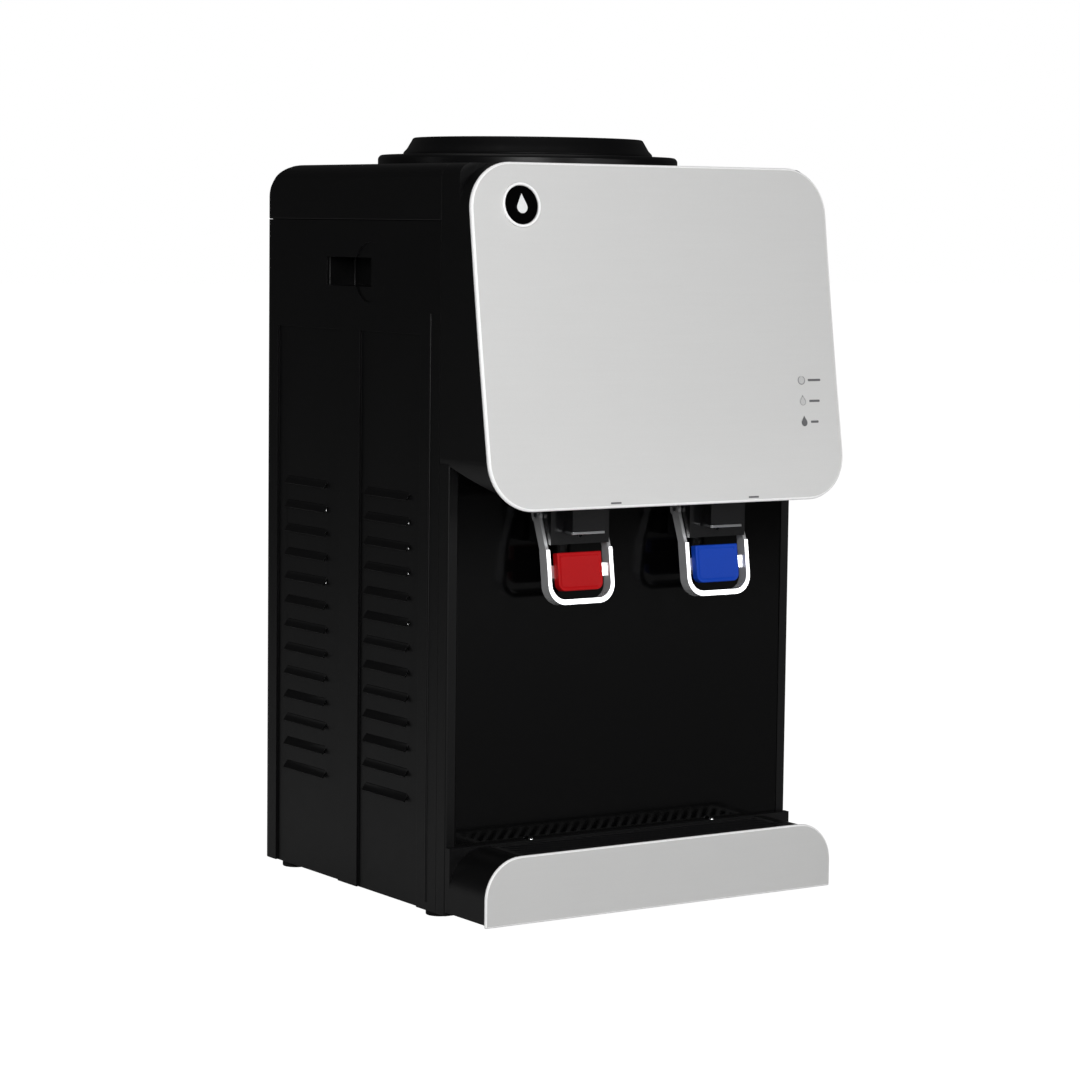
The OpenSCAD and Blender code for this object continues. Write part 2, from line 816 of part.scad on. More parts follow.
module tap_nuts() {
  color([0.75, 0.75, 0.72]) place() for (x = [-1, 1]) {
    translate([x * tap_spacing / 2, frame_wall_back + seat_gap, tail_z]) rotate([-90, 0, 0])
      difference() {
        cylinder(h = 7, r = 12.5, $fn = 6);
        translate([0, 0, -1]) cylinder(h = 9, r = tail_radius + seat_gap);
      }
  }
}

// ---- top cover and bottle collar ----

// outline of the cover in depth and height with a round rear top edge
module cover_outline(inset, low) {
  radius = rear_top_radius - inset;
  front = frame_strip_depth + seat_gap;
  back = cabinet_depth - inset;
  top = cabinet_height - inset;
  intersection() {
    union() {
      translate([front, low]) square([back - radius - front, top - low]);
      translate([back - radius, low]) square([radius, top - radius - low + 0.01]);
      translate([back - radius, top - radius]) circle(radius);
    }
    translate([front - 1, low]) square([back + 10, top - low + 10]);
  }
}

module top_cover() {
  wall = moulding_wall;
  color([0.06, 0.06, 0.065]) place() difference() {
    union() {
      intersection() {
        sideways(-half_width, half_width) cover_outline(0, seam_z);
        linear_extrude(height = cabinet_height + 10)
          rear_round_plan(cabinet_width, cabinet_depth, rear_corner_radius);
        upright(0, cabinet_depth + 1)
          top_round_outline(cabinet_width, cabinet_height, side_top_radius);
      }
      translate([0, tank_y, cabinet_height - 20])
        cylinder(h = 20 + plinth_height - 2.2, r = plinth_radius);
      translate([0, tank_y, plinth_z - 2.2])
        cylinder(h = 2.2, r1 = plinth_radius, r2 = plinth_radius - 2);
    }
    intersection() {
      sideways(-half_width + wall, half_width - wall) translate([0, -20])
        cover_outline_room(wall);
      translate([0, 0, -1]) linear_extrude(height = cabinet_height + 10)
        rear_round_plan(cabinet_width - 2 * wall, cabinet_depth - wall, rear_corner_radius - wall);
      upright(0, cabinet_depth + 1)
        top_round_outline(cabinet_width - 2 * wall, cabinet_height - wall, side_top_radius - wall);
    }
    translate([0, tank_y, 0]) cylinder(h = plinth_z - wall, r = plinth_radius - wall);
    translate([0, tank_y, 0]) cylinder(h = plinth_z + 5, r = collar_radius - 6);
  }
}

// hollow of the cover, open downwards
module cover_outline_room(inset) {
  translate([inset, 20]) cover_outline(inset, seam_z - 5);
}

module bottle_collar() {
  foot = plinth_z + seat_gap;
  ring = collar_radius;
  top = collar_top;
  neck = neck_radius;
  skirt = cold_tank_radius - 4;
  cone_low = socket_low + 22;
  lip = ring - 11.5;
  slope = (top - 2.6 - cone_low) / (lip - neck - 4);
  wall = moulding_wall;
  drop = wall * 1.33;
  color([0.06, 0.06, 0.065]) place() translate([0, tank_y, 0]) rotate_extrude() polygon([
    [ring + 3, foot],
    [ring + 2.4, foot + 2.1],
    [ring, foot + 4.6],
    [ring - 4.4, top - 0.6],
    [ring - 5.4, top],
    [lip + 2, top],
    [lip, top - 2.6],
    [neck + 4, cone_low],
    [neck, cone_low - 8],
    [neck, socket_low],
    [neck + wall, socket_low],
    [neck + wall, cone_low - 8.7],
    [neck + 6, cone_low - 1.4],
    [skirt - wall, cone_low + (skirt - wall - neck - 4) * slope - drop],
    [skirt - wall, cold_top - 14],
    [skirt, cold_top - 14],
    [skirt, cone_low + (skirt - neck - 4) * slope - drop],
    [ring - 8, top - 3],
    [ring - 6.6, top - 3],
    [ring - 3.4, foot + 3.7],
    [ring - 3.4, foot]
  ]);
}

module feed_spike() {
  low = cabinet_height - 52;
  top = cabinet_height - 12;
  flange = socket_low - seat_gap;
  color([0.88, 0.88, 0.86]) place() translate([0, tank_y, 0]) difference() {
    union() {
      translate([0, 0, flange - 3]) cylinder(h = 3, r = neck_radius + moulding_wall);
      translate([0, 0, low]) cylinder(h = top - low - 6, r = 9);
      translate([0, 0, top - 6]) cylinder(h = 6, r1 = 9, r2 = 5);
    }
    translate([0, 0, low - 1]) cylinder(h = top - low - 3, r = 6.5);
    for (turn = [0, 90]) {
      rotate([0, 0, turn]) translate([-15, 0, top - 14]) rotate([0, 90, 0]) cylinder(h = 30, r = 3);
    }
    for (turn = [0 : 60 : 300]) {
      rotate([0, 0, turn]) translate([19.5, 0, flange - 5]) cylinder(h = 10, r = 6);
    }
  }
}

module collar_seal() {
  skirt = cold_tank_radius - 4;
  color([0.8, 0.8, 0.78]) place() translate([0, tank_y, cold_top - 10]) difference() {
    cylinder(h = 6, r = cold_tank_radius - 1 - seat_gap);
    translate([0, 0, -1]) cylinder(h = 8, r = skirt + seat_gap);
  }
}

// ---- cold tank ----

module cold_tank() {
  color([0.75, 0.76, 0.78]) place() translate([0, tank_y, 0]) difference() {
    union() {
      translate([0, 0, cold_bottom]) cylinder(h = cold_top - cold_bottom, r = cold_tank_radius);
      translate([0, 0, cold_top - 2]) cylinder(h = 2, r = cold_tank_radius + 6);
    }
    translate([0, 0, cold_bottom + 1.2]) cylinder(h = cold_top, r = cold_tank_radius - 1);
    translate([0, 0, cold_bottom - 1]) cylinder(h = 4, r = 4);
    translate([cold_outlet_x, cold_outlet_y, cold_bottom - 1]) cylinder(h = 4, r = 3.5);
  }
}

module tank_baffle() {
  color([0.85, 0.85, 0.83]) place() translate([0, tank_y, 0]) difference() {
    union() {
      translate([0, 0, cold_bottom + 70]) cylinder(h = 2, r = cold_tank_radius - 1 - seat_gap);
      translate([0, 0, cold_bottom + 1.2 + seat_gap]) cylinder(h = 90, r = 8);
    }
    translate([0, 0, cold_bottom]) cylinder(h = 120, r = 6);
    for (turn = [0 : 45 : 315]) {
      rotate([0, 0, turn]) translate([48, 0, cold_bottom + 60]) cylinder(h = 20, r = 5);
    }
  }
}

module cold_tank_foam() {
  color([0.85, 0.82, 0.7]) place() translate([0, tank_y, 0]) difference() {
    translate([0, 0, foam_bottom]) cylinder(h = cold_top - 8 - foam_bottom, r = foam_radius);
    translate([0, 0, cold_bottom - seat_gap])
      cylinder(h = cold_top, r = cold_tank_radius + 7 + 2 * seat_gap);
    translate([0, 0, foam_bottom - 1]) cylinder(h = 20, r = hose_radius + 2);
    translate([cold_outlet_x, cold_outlet_y, foam_bottom - 1])
      cylinder(h = 20, r = hose_radius + 2);
    suction_spot() translate([0, 0, foam_bottom - 1]) cylinder(h = 20, r = 5);
  }
}

// where the suction tube leaves the coil, from the tank's axis
module suction_spot() {
  rotate([0, 0, 130]) translate([cold_tank_radius + coil_tube + seat_gap, 0, 0]) children();
}

module evaporator_coil() {
  ring = cold_tank_radius + coil_tube + seat_gap;
  low = cold_bottom + 8;
  color([0.72, 0.45, 0.3]) place() translate([0, tank_y, 0]) union() {
    for (i = [0 : 5]) {
      translate([0, 0, low + i * 12]) rotate_extrude() translate([ring, 0]) circle(coil_tube, $fn = 32);
    }
    rotate([0, 0, 40]) translate([ring, 0, low]) cylinder(h = 60, r = 2.6);
  }
}

module tank_shelf() {
  side = inner_side - seat_gap;
  low_y = frame_wall_back + seat_gap;
  high_y = rear_inner_y - 9;
  color([0.5, 0.51, 0.53]) place() difference() {
    union() {
      block([-side, frame_strip_depth + seat_gap, shelf_z], [side, high_y, shelf_z + 2]);
      block([-side + 5, low_y, shelf_z], [side - 5, frame_strip_depth + 2, shelf_z + 2]);
      both_sides() block([-side, frame_strip_depth + seat_gap, shelf_z - 14],
        [-side + 2, high_y, shelf_z + 1]);
    }
    translate([0, tank_y, shelf_z - 1]) cylinder(h = 5, r = hose_radius + 2);
    translate([cold_outlet_x, tank_y + cold_outlet_y, shelf_z - 1])
      cylinder(h = 5, r = hose_radius + 2);
    for (x = [-1, 1]) {
      translate([x * tap_spacing / 2, hose_y, shelf_z - 1]) cylinder(h = 5, r = hose_radius + 2);
    }
    translate([0, tank_y, shelf_z - 1]) suction_spot() cylinder(h = 5, r = 5);
  }
}

// ---- hot tank ----

module hot_tank() {
  color([0.75, 0.76, 0.78]) place() translate([hot_x, hot_y, 0]) difference() {
    union() {
      translate([0, 0, hot_bottom]) cylinder(h = hot_tank_height, r = hot_tank_radius);
      for (x = [-1, 1]) {
        block([x * 30 - 5, 12, hot_top - 1], [x * 30 + 5, 14, shelf_z - seat_gap]);
        block([x * 30 - 5, 12, shelf_z - 2 - seat_gap], [x * 30 + 5, 26, shelf_z - seat_gap]);
      }
    }
    translate([0, 0, hot_bottom + 1.2]) cylinder(h = hot_tank_height - 2.4, r = hot_tank_radius - 1.2);
    translate([0, 0, hot_bottom - 1]) cylinder(h = 4, r = 3.5);
    translate([hot_outlet_x, hot_outlet_y, hot_top - 3]) cylinder(h = 5, r = 3.5);
  }
}

module heater_band() {
  inner = hot_tank_radius + seat_gap;
  middle = (hot_top + hot_bottom) / 2;
  color([0.65, 0.6, 0.5]) place() translate([hot_x, hot_y, middle]) difference() {
    union() {
      translate([0, 0, -24]) cylinder(h = 48, r = inner + 3);
      block([-6, -inner - 14, -10], [6, -inner + 2, 10]);
    }
    translate([0, 0, -25]) cylinder(h = 50, r = inner);
    block([-1.5, -inner - 15, -25], [1.5, -inner + 5, 25]);
  }
}

module thermostats() {
  color([0.2, 0.2, 0.22]) place() for (z = [hot_bottom + 16, hot_top - 16]) {
    translate([hot_x, hot_y - hot_tank_radius - seat_gap, z]) rotate([90, 0, 0]) union() {
      cylinder(h = 6, r = 8);
      cylinder(h = 12, r = 4);
    }
  }
}

// ---- hoses and drain ----

module feed_hose() {
  gap_x = hot_x - (hot_tank_radius + 0.5) * cos(9.5);
  gap_y = hot_y + (hot_tank_radius + 0.5) * sin(9.5);
  color([0.85, 0.85, 0.82]) place() pipe([
    [0, tank_y, cold_bottom - seat_gap],
    [0, tank_y, hot_bottom + 18],
    [gap_x, gap_y, hot_bottom + 18]
  ], hose_radius);
}

module hot_hose() {
  x = -tap_spacing / 2;
  color([0.85, 0.85, 0.82]) place() pipe([
    [x, tail_end + seat_gap, tail_z],
    [x, hose_y, tail_z],
    [x, hose_y, shelf_z - 28],
    [hot_x + hot_outlet_x, hot_y + hot_outlet_y, shelf_z - 28],
    [hot_x + hot_outlet_x, hot_y + hot_outlet_y, hot_top + seat_gap]
  ], hose_radius);
}

module cold_hose() {
  x = tap_spacing / 2;
  color([0.85, 0.85, 0.82]) place() pipe([
    [x, tail_end + seat_gap, tail_z],
    [x, hose_y, tail_z],
    [x, hose_y, shelf_z - 14],
    [cold_outlet_x, tank_y + cold_outlet_y, shelf_z - 14],
    [cold_outlet_x, tank_y + cold_outlet_y, cold_bottom - seat_gap]
  ], hose_radius);
}

module drain_hose() {
  color([0.85, 0.85, 0.82]) place() pipe([
    [hot_x, hot_y, hot_bottom - seat_gap],
    [hot_x, hot_y, service_z],
    [hot_x, cabinet_depth - 18 - seat_gap, service_z]
  ], hose_radius);
}

module drain_spout() {
  color([0.85, 0.85, 0.83]) place() translate([hot_x, 0, service_z])
    rotate([-90, 0, 0]) difference() {
    union() {
      translate([0, 0, cabinet_depth - 18]) cylinder(h = 27, r = 8);
      translate([0, 0, rear_inner_y - seat_gap - 3]) cylinder(h = 3, r = 13);
    }
    translate([0, 0, cabinet_depth - 14]) cylinder(h = 40, r = 4.5);
  }
}

module drain_cap() {
  color([0.06, 0.06, 0.065]) place() translate([hot_x, cabinet_depth, service_z]) rotate([-90, 0, 0])
    difference() {
      union() {
        translate([0, 0, seat_gap]) cylinder(h = drain_reach - seat_gap - 1, r = 12);
        translate([0, 0, drain_reach - 1.1]) cylinder(h = 1.1, r1 = 12, r2 = 11);
      }
      translate([0, 0, -1]) cylinder(h = 1 + 9 + seat_gap, r = 8 + running_gap);
      for (turn = [0 : 30 : 330]) {
        rotate([0, 0, turn]) translate([12.6, 0, -1]) cylinder(h = 20, r = 1.2);
      }
    }
}

// ---- refrigeration ----

module grommet_spots() {
  for (x = [-1, 1]) {
    for (y = [-1, 1]) {
      translate([x * 42, y * 31, 0]) children();
    }
  }
}

// outline of the compressor's can, inset by its shell
module can_outline(inset) {
  r = compressor_radius - inset;
  low = 14 + inset;
  top = comp_top - inset;
  polygon([
    [0, low], [r - 16, low], [r - 3, low + 14], [r, 60], [r, 98],
    [r - 3, top - 24], [r - 20, top - 7], [0, top]
  ]);
}

module compressor() {
  r = compressor_radius;
  motor_top = 112;
  color([0.04, 0.04, 0.045]) place() translate([comp_x, comp_y, 0]) difference() {
    union() {
      rotate_extrude() can_outline(0);
      block([-50, -38, 12], [50, 38, 15]);
      block([-18, -r - 10, 60], [18, -r + 8, 104]);
    }
    // room inside the can, round and over the motor
    difference() {
      rotate_extrude() can_outline(comp_shell);
      cylinder(h = motor_top, r = r / 2);
    }
    // discharge port
    translate([0, 0, comp_top - 10]) cylinder(h = 12, r = tube_radius - 0.7);
    grommet_spots() translate([0, 0, 10]) cylinder(h = 8, r = 4.3);
  }
}

module compressor_grommets() {
  color([0.1, 0.1, 0.1]) place() translate([comp_x, comp_y, 0]) grommet_spots() union() {
    translate([0, 0, 1.6 + seat_gap]) cylinder(h = 10.1 - 2 * seat_gap, r = 9);
    translate([0, 0, 2]) cylinder(h = 14, r = 4);
  }
}

module refrigerant_tubes() {
  left = -condenser_x - 8;
  low_y = cabinet_depth - 24;
  suction_low = comp_top - 1.8;
  color([0.72, 0.45, 0.3]) place() {
    // discharge tube, compressor to condenser
    pipe([
      [comp_x, comp_y, comp_top + seat_gap],
      [comp_x, comp_y, discharge_z],
      [left, low_y, discharge_z],
      [left, condenser_y, discharge_z],
      [left, condenser_y, condenser_low],
      [-condenser_x - seat_gap, condenser_y, condenser_low]
    ], tube_radius);
    // liquid tube, condenser to drier
    pipe([
      [condenser_x + seat_gap, condenser_y, condenser_high],
      [condenser_x + 8, condenser_y, condenser_high],
      [condenser_x + 8, condenser_y - 20, condenser_high],
      [condenser_x + 8, condenser_y - 20, condenser_high - 30]
    ], tube_radius);
    // suction tube, coil to compressor
    translate([0, tank_y, 0]) suction_spot()
      translate([0, 0, suction_low])
        cylinder(h = cold_bottom + 8 - coil_tube - seat_gap - suction_low, r = tube_radius);
  }
}

module filter_drier() {
  color([0.72, 0.45, 0.3]) place()
    translate([condenser_x + 8, condenser_y - 20, condenser_high - 110]) union() {
      cylinder(h = 79.7, r = 7);
      translate([0, 0, -8]) cylinder(h = 12, r = 3);
    }
}

module condenser_tube() {
  reach = condenser_x - run_pitch / 2;
  last = condenser_runs - 1;
  // each run starts where the one below it ended, so odd runs go back to the left
  corners = [for (i = [0 : last]) each [
    [i == 0 ? -condenser_x : (i % 2 == 0 ? -reach : reach), 0, i * run_pitch],
    [i == last ? (i % 2 == 0 ? condenser_x : -condenser_x) : (i % 2 == 0 ? reach : -reach),
      0, i * run_pitch]
  ]];
  color([0.05, 0.05, 0.05]) place() translate([0, condenser_y, condenser_low])
    pipe(corners, tube_radius);
}

module condenser_wires() {
  pitch = 18;
  count = floor((condenser_x - 26) / pitch);
  color([0.05, 0.05, 0.05]) place() for (i = [-count : count]) {
    translate([i * pitch, rear_inner_y - seat_gap - 0.8, window_low - 6])
      cylinder(h = window_high - window_low + 12, r = 0.8, $fn = 24);
  }
}

// ---- rear fittings ----

module cord_gland() {
  color([0.05, 0.05, 0.05]) place() translate([service_x, 0, service_z]) rotate([-90, 0, 0]) difference() {
    union() {
      translate([0, 0, rear_inner_y - 6]) cylinder(h = 16, r = 8);
      translate([0, 0, rear_inner_y - 6]) cylinder(h = 6 - seat_gap, r = 12, $fn = 6);
      translate([0, 0, cabinet_depth + seat_gap]) cylinder(h = 3, r = 12);
    }
    translate([0, 0, rear_inner_y - 8]) cylinder(h = 30, r = 3.5);
  }
}

module switch_housing() {
  color([0.06, 0.06, 0.065]) place() translate([service_x, cabinet_depth, switch_z]) difference() {
    union() {
      block([-25, seat_gap, -15], [25, 2.3, 15]);
      block([-22, -16, -12], [22, 2, 12]);
    }
    for (x = [-switch_x, switch_x]) {
      block([x - 9, -13, -10.6], [x + 9, 5, 10.6]);
    }
    translate([-20.8, -1, 0]) rotate([0, 90, 0]) cylinder(h = 41.6, r = 1.5 + running_gap);
  }
}

module rocker_shape() {
  rotate([8, 0, 0]) union() {
    sideways(-8.7, 8.7) polygon([[-4, -9.4], [3.6, -9.4], [2.4, 0], [3.6, 9.4], [-4, 9.4], [-6, 0]]);
    translate([-9.8, 0, 0]) rotate([0, 90, 0]) cylinder(h = 19.6, r = 1.5);
  }
}

module cooling_switch() {
  color([0.05, 0.35, 0.12]) place() translate([service_x - switch_x, cabinet_depth - 1, switch_z])
    rocker_shape();
}

module heating_switch() {
  color([0.5, 0.04, 0.04]) place() translate([service_x + switch_x, cabinet_depth - 1, switch_z])
    rocker_shape();
}

base_pan();
feet();
left_side_panel();
right_side_panel();
left_grip_cup();
right_grip_cup();
rear_panel();
front_frame();
splash_panel();
top_cover();
fascia_panel();
badge_ring();
badge_disc();
indicator_lenses();
indicator_board();
skirt_panel();
tray_housing();
drip_basin();
drip_grille();
hot_tap_body();
cold_tap_body();
hot_lever();
cold_lever();
hot_pad();
cold_pad();
hot_pivot_pin();
cold_pivot_pin();
hot_valve_stem();
cold_valve_stem();
hot_valve_spring();
cold_valve_spring();
tap_nuts();
bottle_collar();
feed_spike();
collar_seal();
cold_tank();
tank_baffle();
cold_tank_foam();
evaporator_coil();
tank_shelf();
hot_tank();
heater_band();
thermostats();
feed_hose();
hot_hose();
cold_hose();
drain_hose();
drain_spout();
drain_cap();
compressor();
compressor_grommets();
refrigerant_tubes();
filter_drier();
condenser_tube();
condenser_wires();
cord_gland();
switch_housing();
cooling_switch();
heating_switch();
panel_screws();
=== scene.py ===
import bpy
import bmesh
from math import radians, atan, sin, cos, sqrt, pi
from mathutils import Matrix, Vector


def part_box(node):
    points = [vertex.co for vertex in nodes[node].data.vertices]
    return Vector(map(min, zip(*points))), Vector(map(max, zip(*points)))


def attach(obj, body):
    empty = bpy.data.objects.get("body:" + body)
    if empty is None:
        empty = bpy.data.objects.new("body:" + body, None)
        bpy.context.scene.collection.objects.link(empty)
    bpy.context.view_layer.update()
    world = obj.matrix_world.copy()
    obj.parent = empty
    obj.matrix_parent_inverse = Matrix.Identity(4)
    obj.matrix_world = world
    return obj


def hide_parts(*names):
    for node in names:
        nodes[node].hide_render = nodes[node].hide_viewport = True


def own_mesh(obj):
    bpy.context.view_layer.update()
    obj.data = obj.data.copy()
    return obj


# everything is in metres, on the table under the feet, front towards -Y
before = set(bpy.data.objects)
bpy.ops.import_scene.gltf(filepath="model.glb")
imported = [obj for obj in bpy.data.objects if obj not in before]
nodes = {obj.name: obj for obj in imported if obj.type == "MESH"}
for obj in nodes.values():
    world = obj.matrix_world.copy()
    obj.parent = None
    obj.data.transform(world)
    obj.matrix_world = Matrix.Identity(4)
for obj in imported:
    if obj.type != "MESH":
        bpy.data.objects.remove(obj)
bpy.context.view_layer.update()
print("frame loaded:", len(nodes), "nodes")

# camera and light

view = {
    "place": (-1.36819, -2.04656, 0.49181),
    "turn": 33.732,       # degrees round from straight ahead
    "down": 5.484,
    "roll": 0.679,
    "lens": 110.36,
}


def setUpCamera():
    data = bpy.data.cameras.new("camera")
    data.lens = view["lens"]
    data.sensor_width = 36
    data.clip_end = 50
    camera = bpy.data.objects.new("camera", data)
    bpy.context.scene.collection.objects.link(camera)
    turn = Matrix.Rotation(-radians(view["turn"]), 4, "Z")
    tilt = Matrix.Rotation(radians(90 - view["down"]), 4, "X")
    roll = Matrix.Rotation(radians(view["roll"]), 4, "Z")
    camera.matrix_world = Matrix.Translation(view["place"]) @ turn @ tilt @ roll
    bpy.context.scene.camera = camera


studio = {
    "backdrop": 1.0,      # what the camera sees behind the object
    "surround": 0.05,     # what lights the object from all round
    "floorColour": (0.86, 0.86, 0.86, 1),
    "floorShade": 0.22,   # how much of its real shading the floor shows
    "floorGlow": 1.3,     # how white the rest of it is
    "floorWide": 40,
    "softboxes": [        # name, place, aim, width, height, watts
        ("keyBox", (-1.5, -2.3, 1.2), (0, -0.05, 0.3), 0.9, 1.2, 49),
        ("frontBox", (0.5, -2.7, 1.3), (0, -0.1, 0.3), 0.7, 0.7, 15),
        ("sideBox", (-2.4, 0.9, 1.0), (0, 0, 0.3), 0.3, 1.5, 2),
        ("topBox", (0.1, 0.3, 2.2), (0, 0, 0.4), 1.3, 1.3, 5),
        ("chromeBox", (1.44, -2.26, 0.62), (0, -0.13, 0.26), 0.9, 0.4, 4),
    ],
}


def aimed(obj, target):
    away = Vector(target) - obj.location
    obj.rotation_euler = away.to_track_quat("-Z", "Y").to_euler()


def setUpStudio():
    world = bpy.data.worlds.new("studio")
    bpy.context.scene.world = world
    world.use_nodes = True
    tree = world.node_tree
    tree.nodes.clear()
    ray = tree.nodes.new("ShaderNodeLightPath")
    seen = tree.nodes.new("ShaderNodeBackground")
    seen.inputs["Color"].default_value = (1, 1, 1, 1)
    seen.inputs["Strength"].default_value = studio["backdrop"]
    felt = tree.nodes.new("ShaderNodeBackground")
    felt.inputs["Color"].default_value = (1, 1, 1, 1)
    felt.inputs["Strength"].default_value = studio["surround"]
    mix = tree.nodes.new("ShaderNodeMixShader")
    out = tree.nodes.new("ShaderNodeOutputWorld")
    tree.links.new(ray.outputs["Is Camera Ray"], mix.inputs[0])
    tree.links.new(felt.outputs[0], mix.inputs[1])
    tree.links.new(seen.outputs[0], mix.inputs[2])
    tree.links.new(mix.outputs[0], out.inputs["Surface"])
    for name, place, aim, width, height, watts in studio["softboxes"]:
        data = bpy.data.lights.new(name, "AREA")
        data.shape = "RECTANGLE"
        data.size = width
        data.size_y = height
        data.energy = watts
        box = bpy.data.objects.new(name, data)
        bpy.context.scene.collection.objects.link(box)
        box.location = place
        aimed(box, aim)
    bpy.context.scene.view_settings.view_transform = "Standard"
    bpy.context.scene.view_settings.look = "None"


# shader helpers

class Signal:  # a number coming out of a node, so that sums read as sums
    def __init__(self, board, socket):
        self.board = board
        self.socket = socket

    def _math(self, kind, first, second):
        return self.board.node("ShaderNodeMath", {"operation": kind}, {0: first, 1: second})

    def __add__(self, other):
        return self._math("ADD", self, other)

    def __radd__(self, other):
        return self._math("ADD", other, self)

    def __sub__(self, other):
        return self._math("SUBTRACT", self, other)

    def __rsub__(self, other):
        return self._math("SUBTRACT", other, self)

    def __mul__(self, other):
        return self._math("MULTIPLY", self, other)

    def __rmul__(self, other):
        return self._math("MULTIPLY", other, self)


class Board:  # one material and its nodes
    def __init__(self, name):
        self.material = bpy.data.materials.new(name)
        self.material.use_nodes = True
        self.tree = self.material.node_tree
        self.tree.nodes.clear()
        self.shader = self.tree.nodes.new("ShaderNodeBsdfPrincipled")
        out = self.tree.nodes.new("ShaderNodeOutputMaterial")
        self.tree.links.new(self.shader.outputs[0], out.inputs["Surface"])
        self.place = self.tree.nodes.new("ShaderNodeTexCoord").outputs["Object"]

    def node(self, kind, settings=None, sockets=None, output=0):
        made = self.tree.nodes.new(kind)
        for key, value in (settings or {}).items():
            setattr(made, key, value)
        for key, value in (sockets or {}).items():
            self.feed(made.inputs[key], value)
        return Signal(self, made.outputs[output])

    def feed(self, socket, value):
        if isinstance(value, Signal):
            value = value.socket
        if isinstance(value, bpy.types.NodeSocket):
            self.tree.links.new(value, socket)
        else:
            socket.default_value = value

    def set(self, **values):
        for key, value in values.items():
            self.feed(self.shader.inputs[key.replace("_", " ")], value)

    def noise(self, scale, detail=3.0, stretch=(1, 1, 1)):
        spread = self.node("ShaderNodeMapping", {}, {"Vector": self.place, "Scale": stretch})
        return self.node(
            "ShaderNodeTexNoise", {}, {"Vector": spread, "Scale": scale, "Detail": detail}
        )

    def blend(self, amount, first, second):
        return self.node(
            "ShaderNodeMix", {"data_type": "RGBA"}, {0: amount, 6: first, 7: second}, 2
        )

    def bump(self, height, depth, strength):
        return self.node(
            "ShaderNodeBump", {}, {"Height": height, "Distance": depth, "Strength": strength}
        )


def shade(colour, factor):
    return (colour[0] * factor, colour[1] * factor, colour[2] * factor, 1)


def clamp(board, value, low, high):
    return board.node("ShaderNodeClamp", {}, {0: value, 1: low, 2: high})


# finishes

mouldedFinishes = {
    # colour, roughness, grain size in mm, grain depth in mm, gloss level
    "satinBlack": ((0.0024, 0.0024, 0.0026), 0.36, 0.55, 0.012, 0.2),
    "sideBlack": ((0.0020, 0.0020, 0.0022), 0.34, 0.7, 0.014, 0.2),
    "glossBlack": ((0.0008, 0.0008, 0.0009), 0.12, 6.0, 0.001, 0.1),
    "tapBlack": ((0.0035, 0.0035, 0.004), 0.2, 1.2, 0.006, 0.35),
    "padRed": ((0.40, 0.004, 0.006), 0.34, 0.8, 0.006, 0.1),
    "padBlue": ((0.006, 0.05, 0.40), 0.34, 0.8, 0.006, 0.1),
    "switchGreen": ((0.01, 0.16, 0.04), 0.3, 0.8, 0.006, 0.5),
    "milkWhite": ((0.72, 0.72, 0.69), 0.4, 0.8, 0.01, 0.5),
    "softSilicone": ((0.66, 0.66, 0.62), 0.52, 1.5, 0.01, 0.4),
    "footRubber": ((0.012, 0.012, 0.012), 0.78, 0.9, 0.04, 0.3),
    "bakelite": ((0.02, 0.014, 0.012), 0.38, 1.0, 0.01, 0.5),
    "circuitGreen": ((0.015, 0.10, 0.04), 0.35, 3.0, 0.01, 0.5),
    "lensGrey": ((0.5, 0.5, 0.5), 0.35, 1.0, 0.004, 0.5),
    "printGrey": ((0.13, 0.13, 0.135), 0.55, 0.4, 0.004, 0.2),
    "iconGrey": ((0.28, 0.28, 0.285), 0.55, 0.4, 0.004, 0.2),
    # near white: the badge ring's own colour, and a painted highlight on the fascia's and skirt's
    # bevelled rims
    "whiteRingAndPaintedEdgeHighlight": ((0.92, 0.92, 0.92), 0.3, 0.6, 0.004, 0.5),
    "printWhite": ((0.75, 0.76, 0.76), 0.45, 0.4, 0.004, 0.4),
}


moulding = {
    "broad": 14,          # blotches to the metre
    "handled": 55,        # finger marks to the metre
    "dark": 0.82,
    "light": 1.2,
    "bump": 0.6,
}


def mouldedFinish(name):
    colour, roughness, grain, depth, gloss = mouldedFinishes[name]
    board = Board(name)
    fine = board.noise(1000 / grain, 2)
    broad = board.noise(moulding["broad"], 4)
    handled = board.noise(moulding["handled"], 5)
    tone = clamp(board, 0.35 * broad + 0.65 * fine, 0, 1)
    darker, lighter = shade(colour, moulding["dark"]), shade(colour, moulding["light"])
    board.set(
        Base_Color=board.blend(tone, darker, lighter),
        Roughness=clamp(board, roughness - 0.06 + 0.07 * handled + 0.05 * broad, 0.03, 1),
        Normal=board.bump(fine, depth / 1000, moulding["bump"]),
        Specular_IOR_Level=gloss,
    )
    return board.material


metalFinishes = {
    # colour, roughness, stretch of the drawn grain, grain depth in mm, metallic
    "polishedChrome": ((0.86, 0.87, 0.89), 0.07, (1, 1, 1), 0.001, 1.0),
    "leverChrome": ((0.93, 0.935, 0.95), 0.13, (1, 1, 1), 0.001, 0.72),
    "brightZinc": ((0.62, 0.63, 0.66), 0.3, (1, 1, 1), 0.004, 1.0),
    "drawnStainless": ((0.6, 0.6, 0.62), 0.28, (1, 1, 0.04), 0.004, 1.0),
    "drawnCopper": ((0.72, 0.33, 0.18), 0.3, (1, 1, 0.1), 0.003, 1.0),
    "heaterSleeve": ((0.5, 0.46, 0.38), 0.4, (1, 1, 0.06), 0.006, 1.0),
}


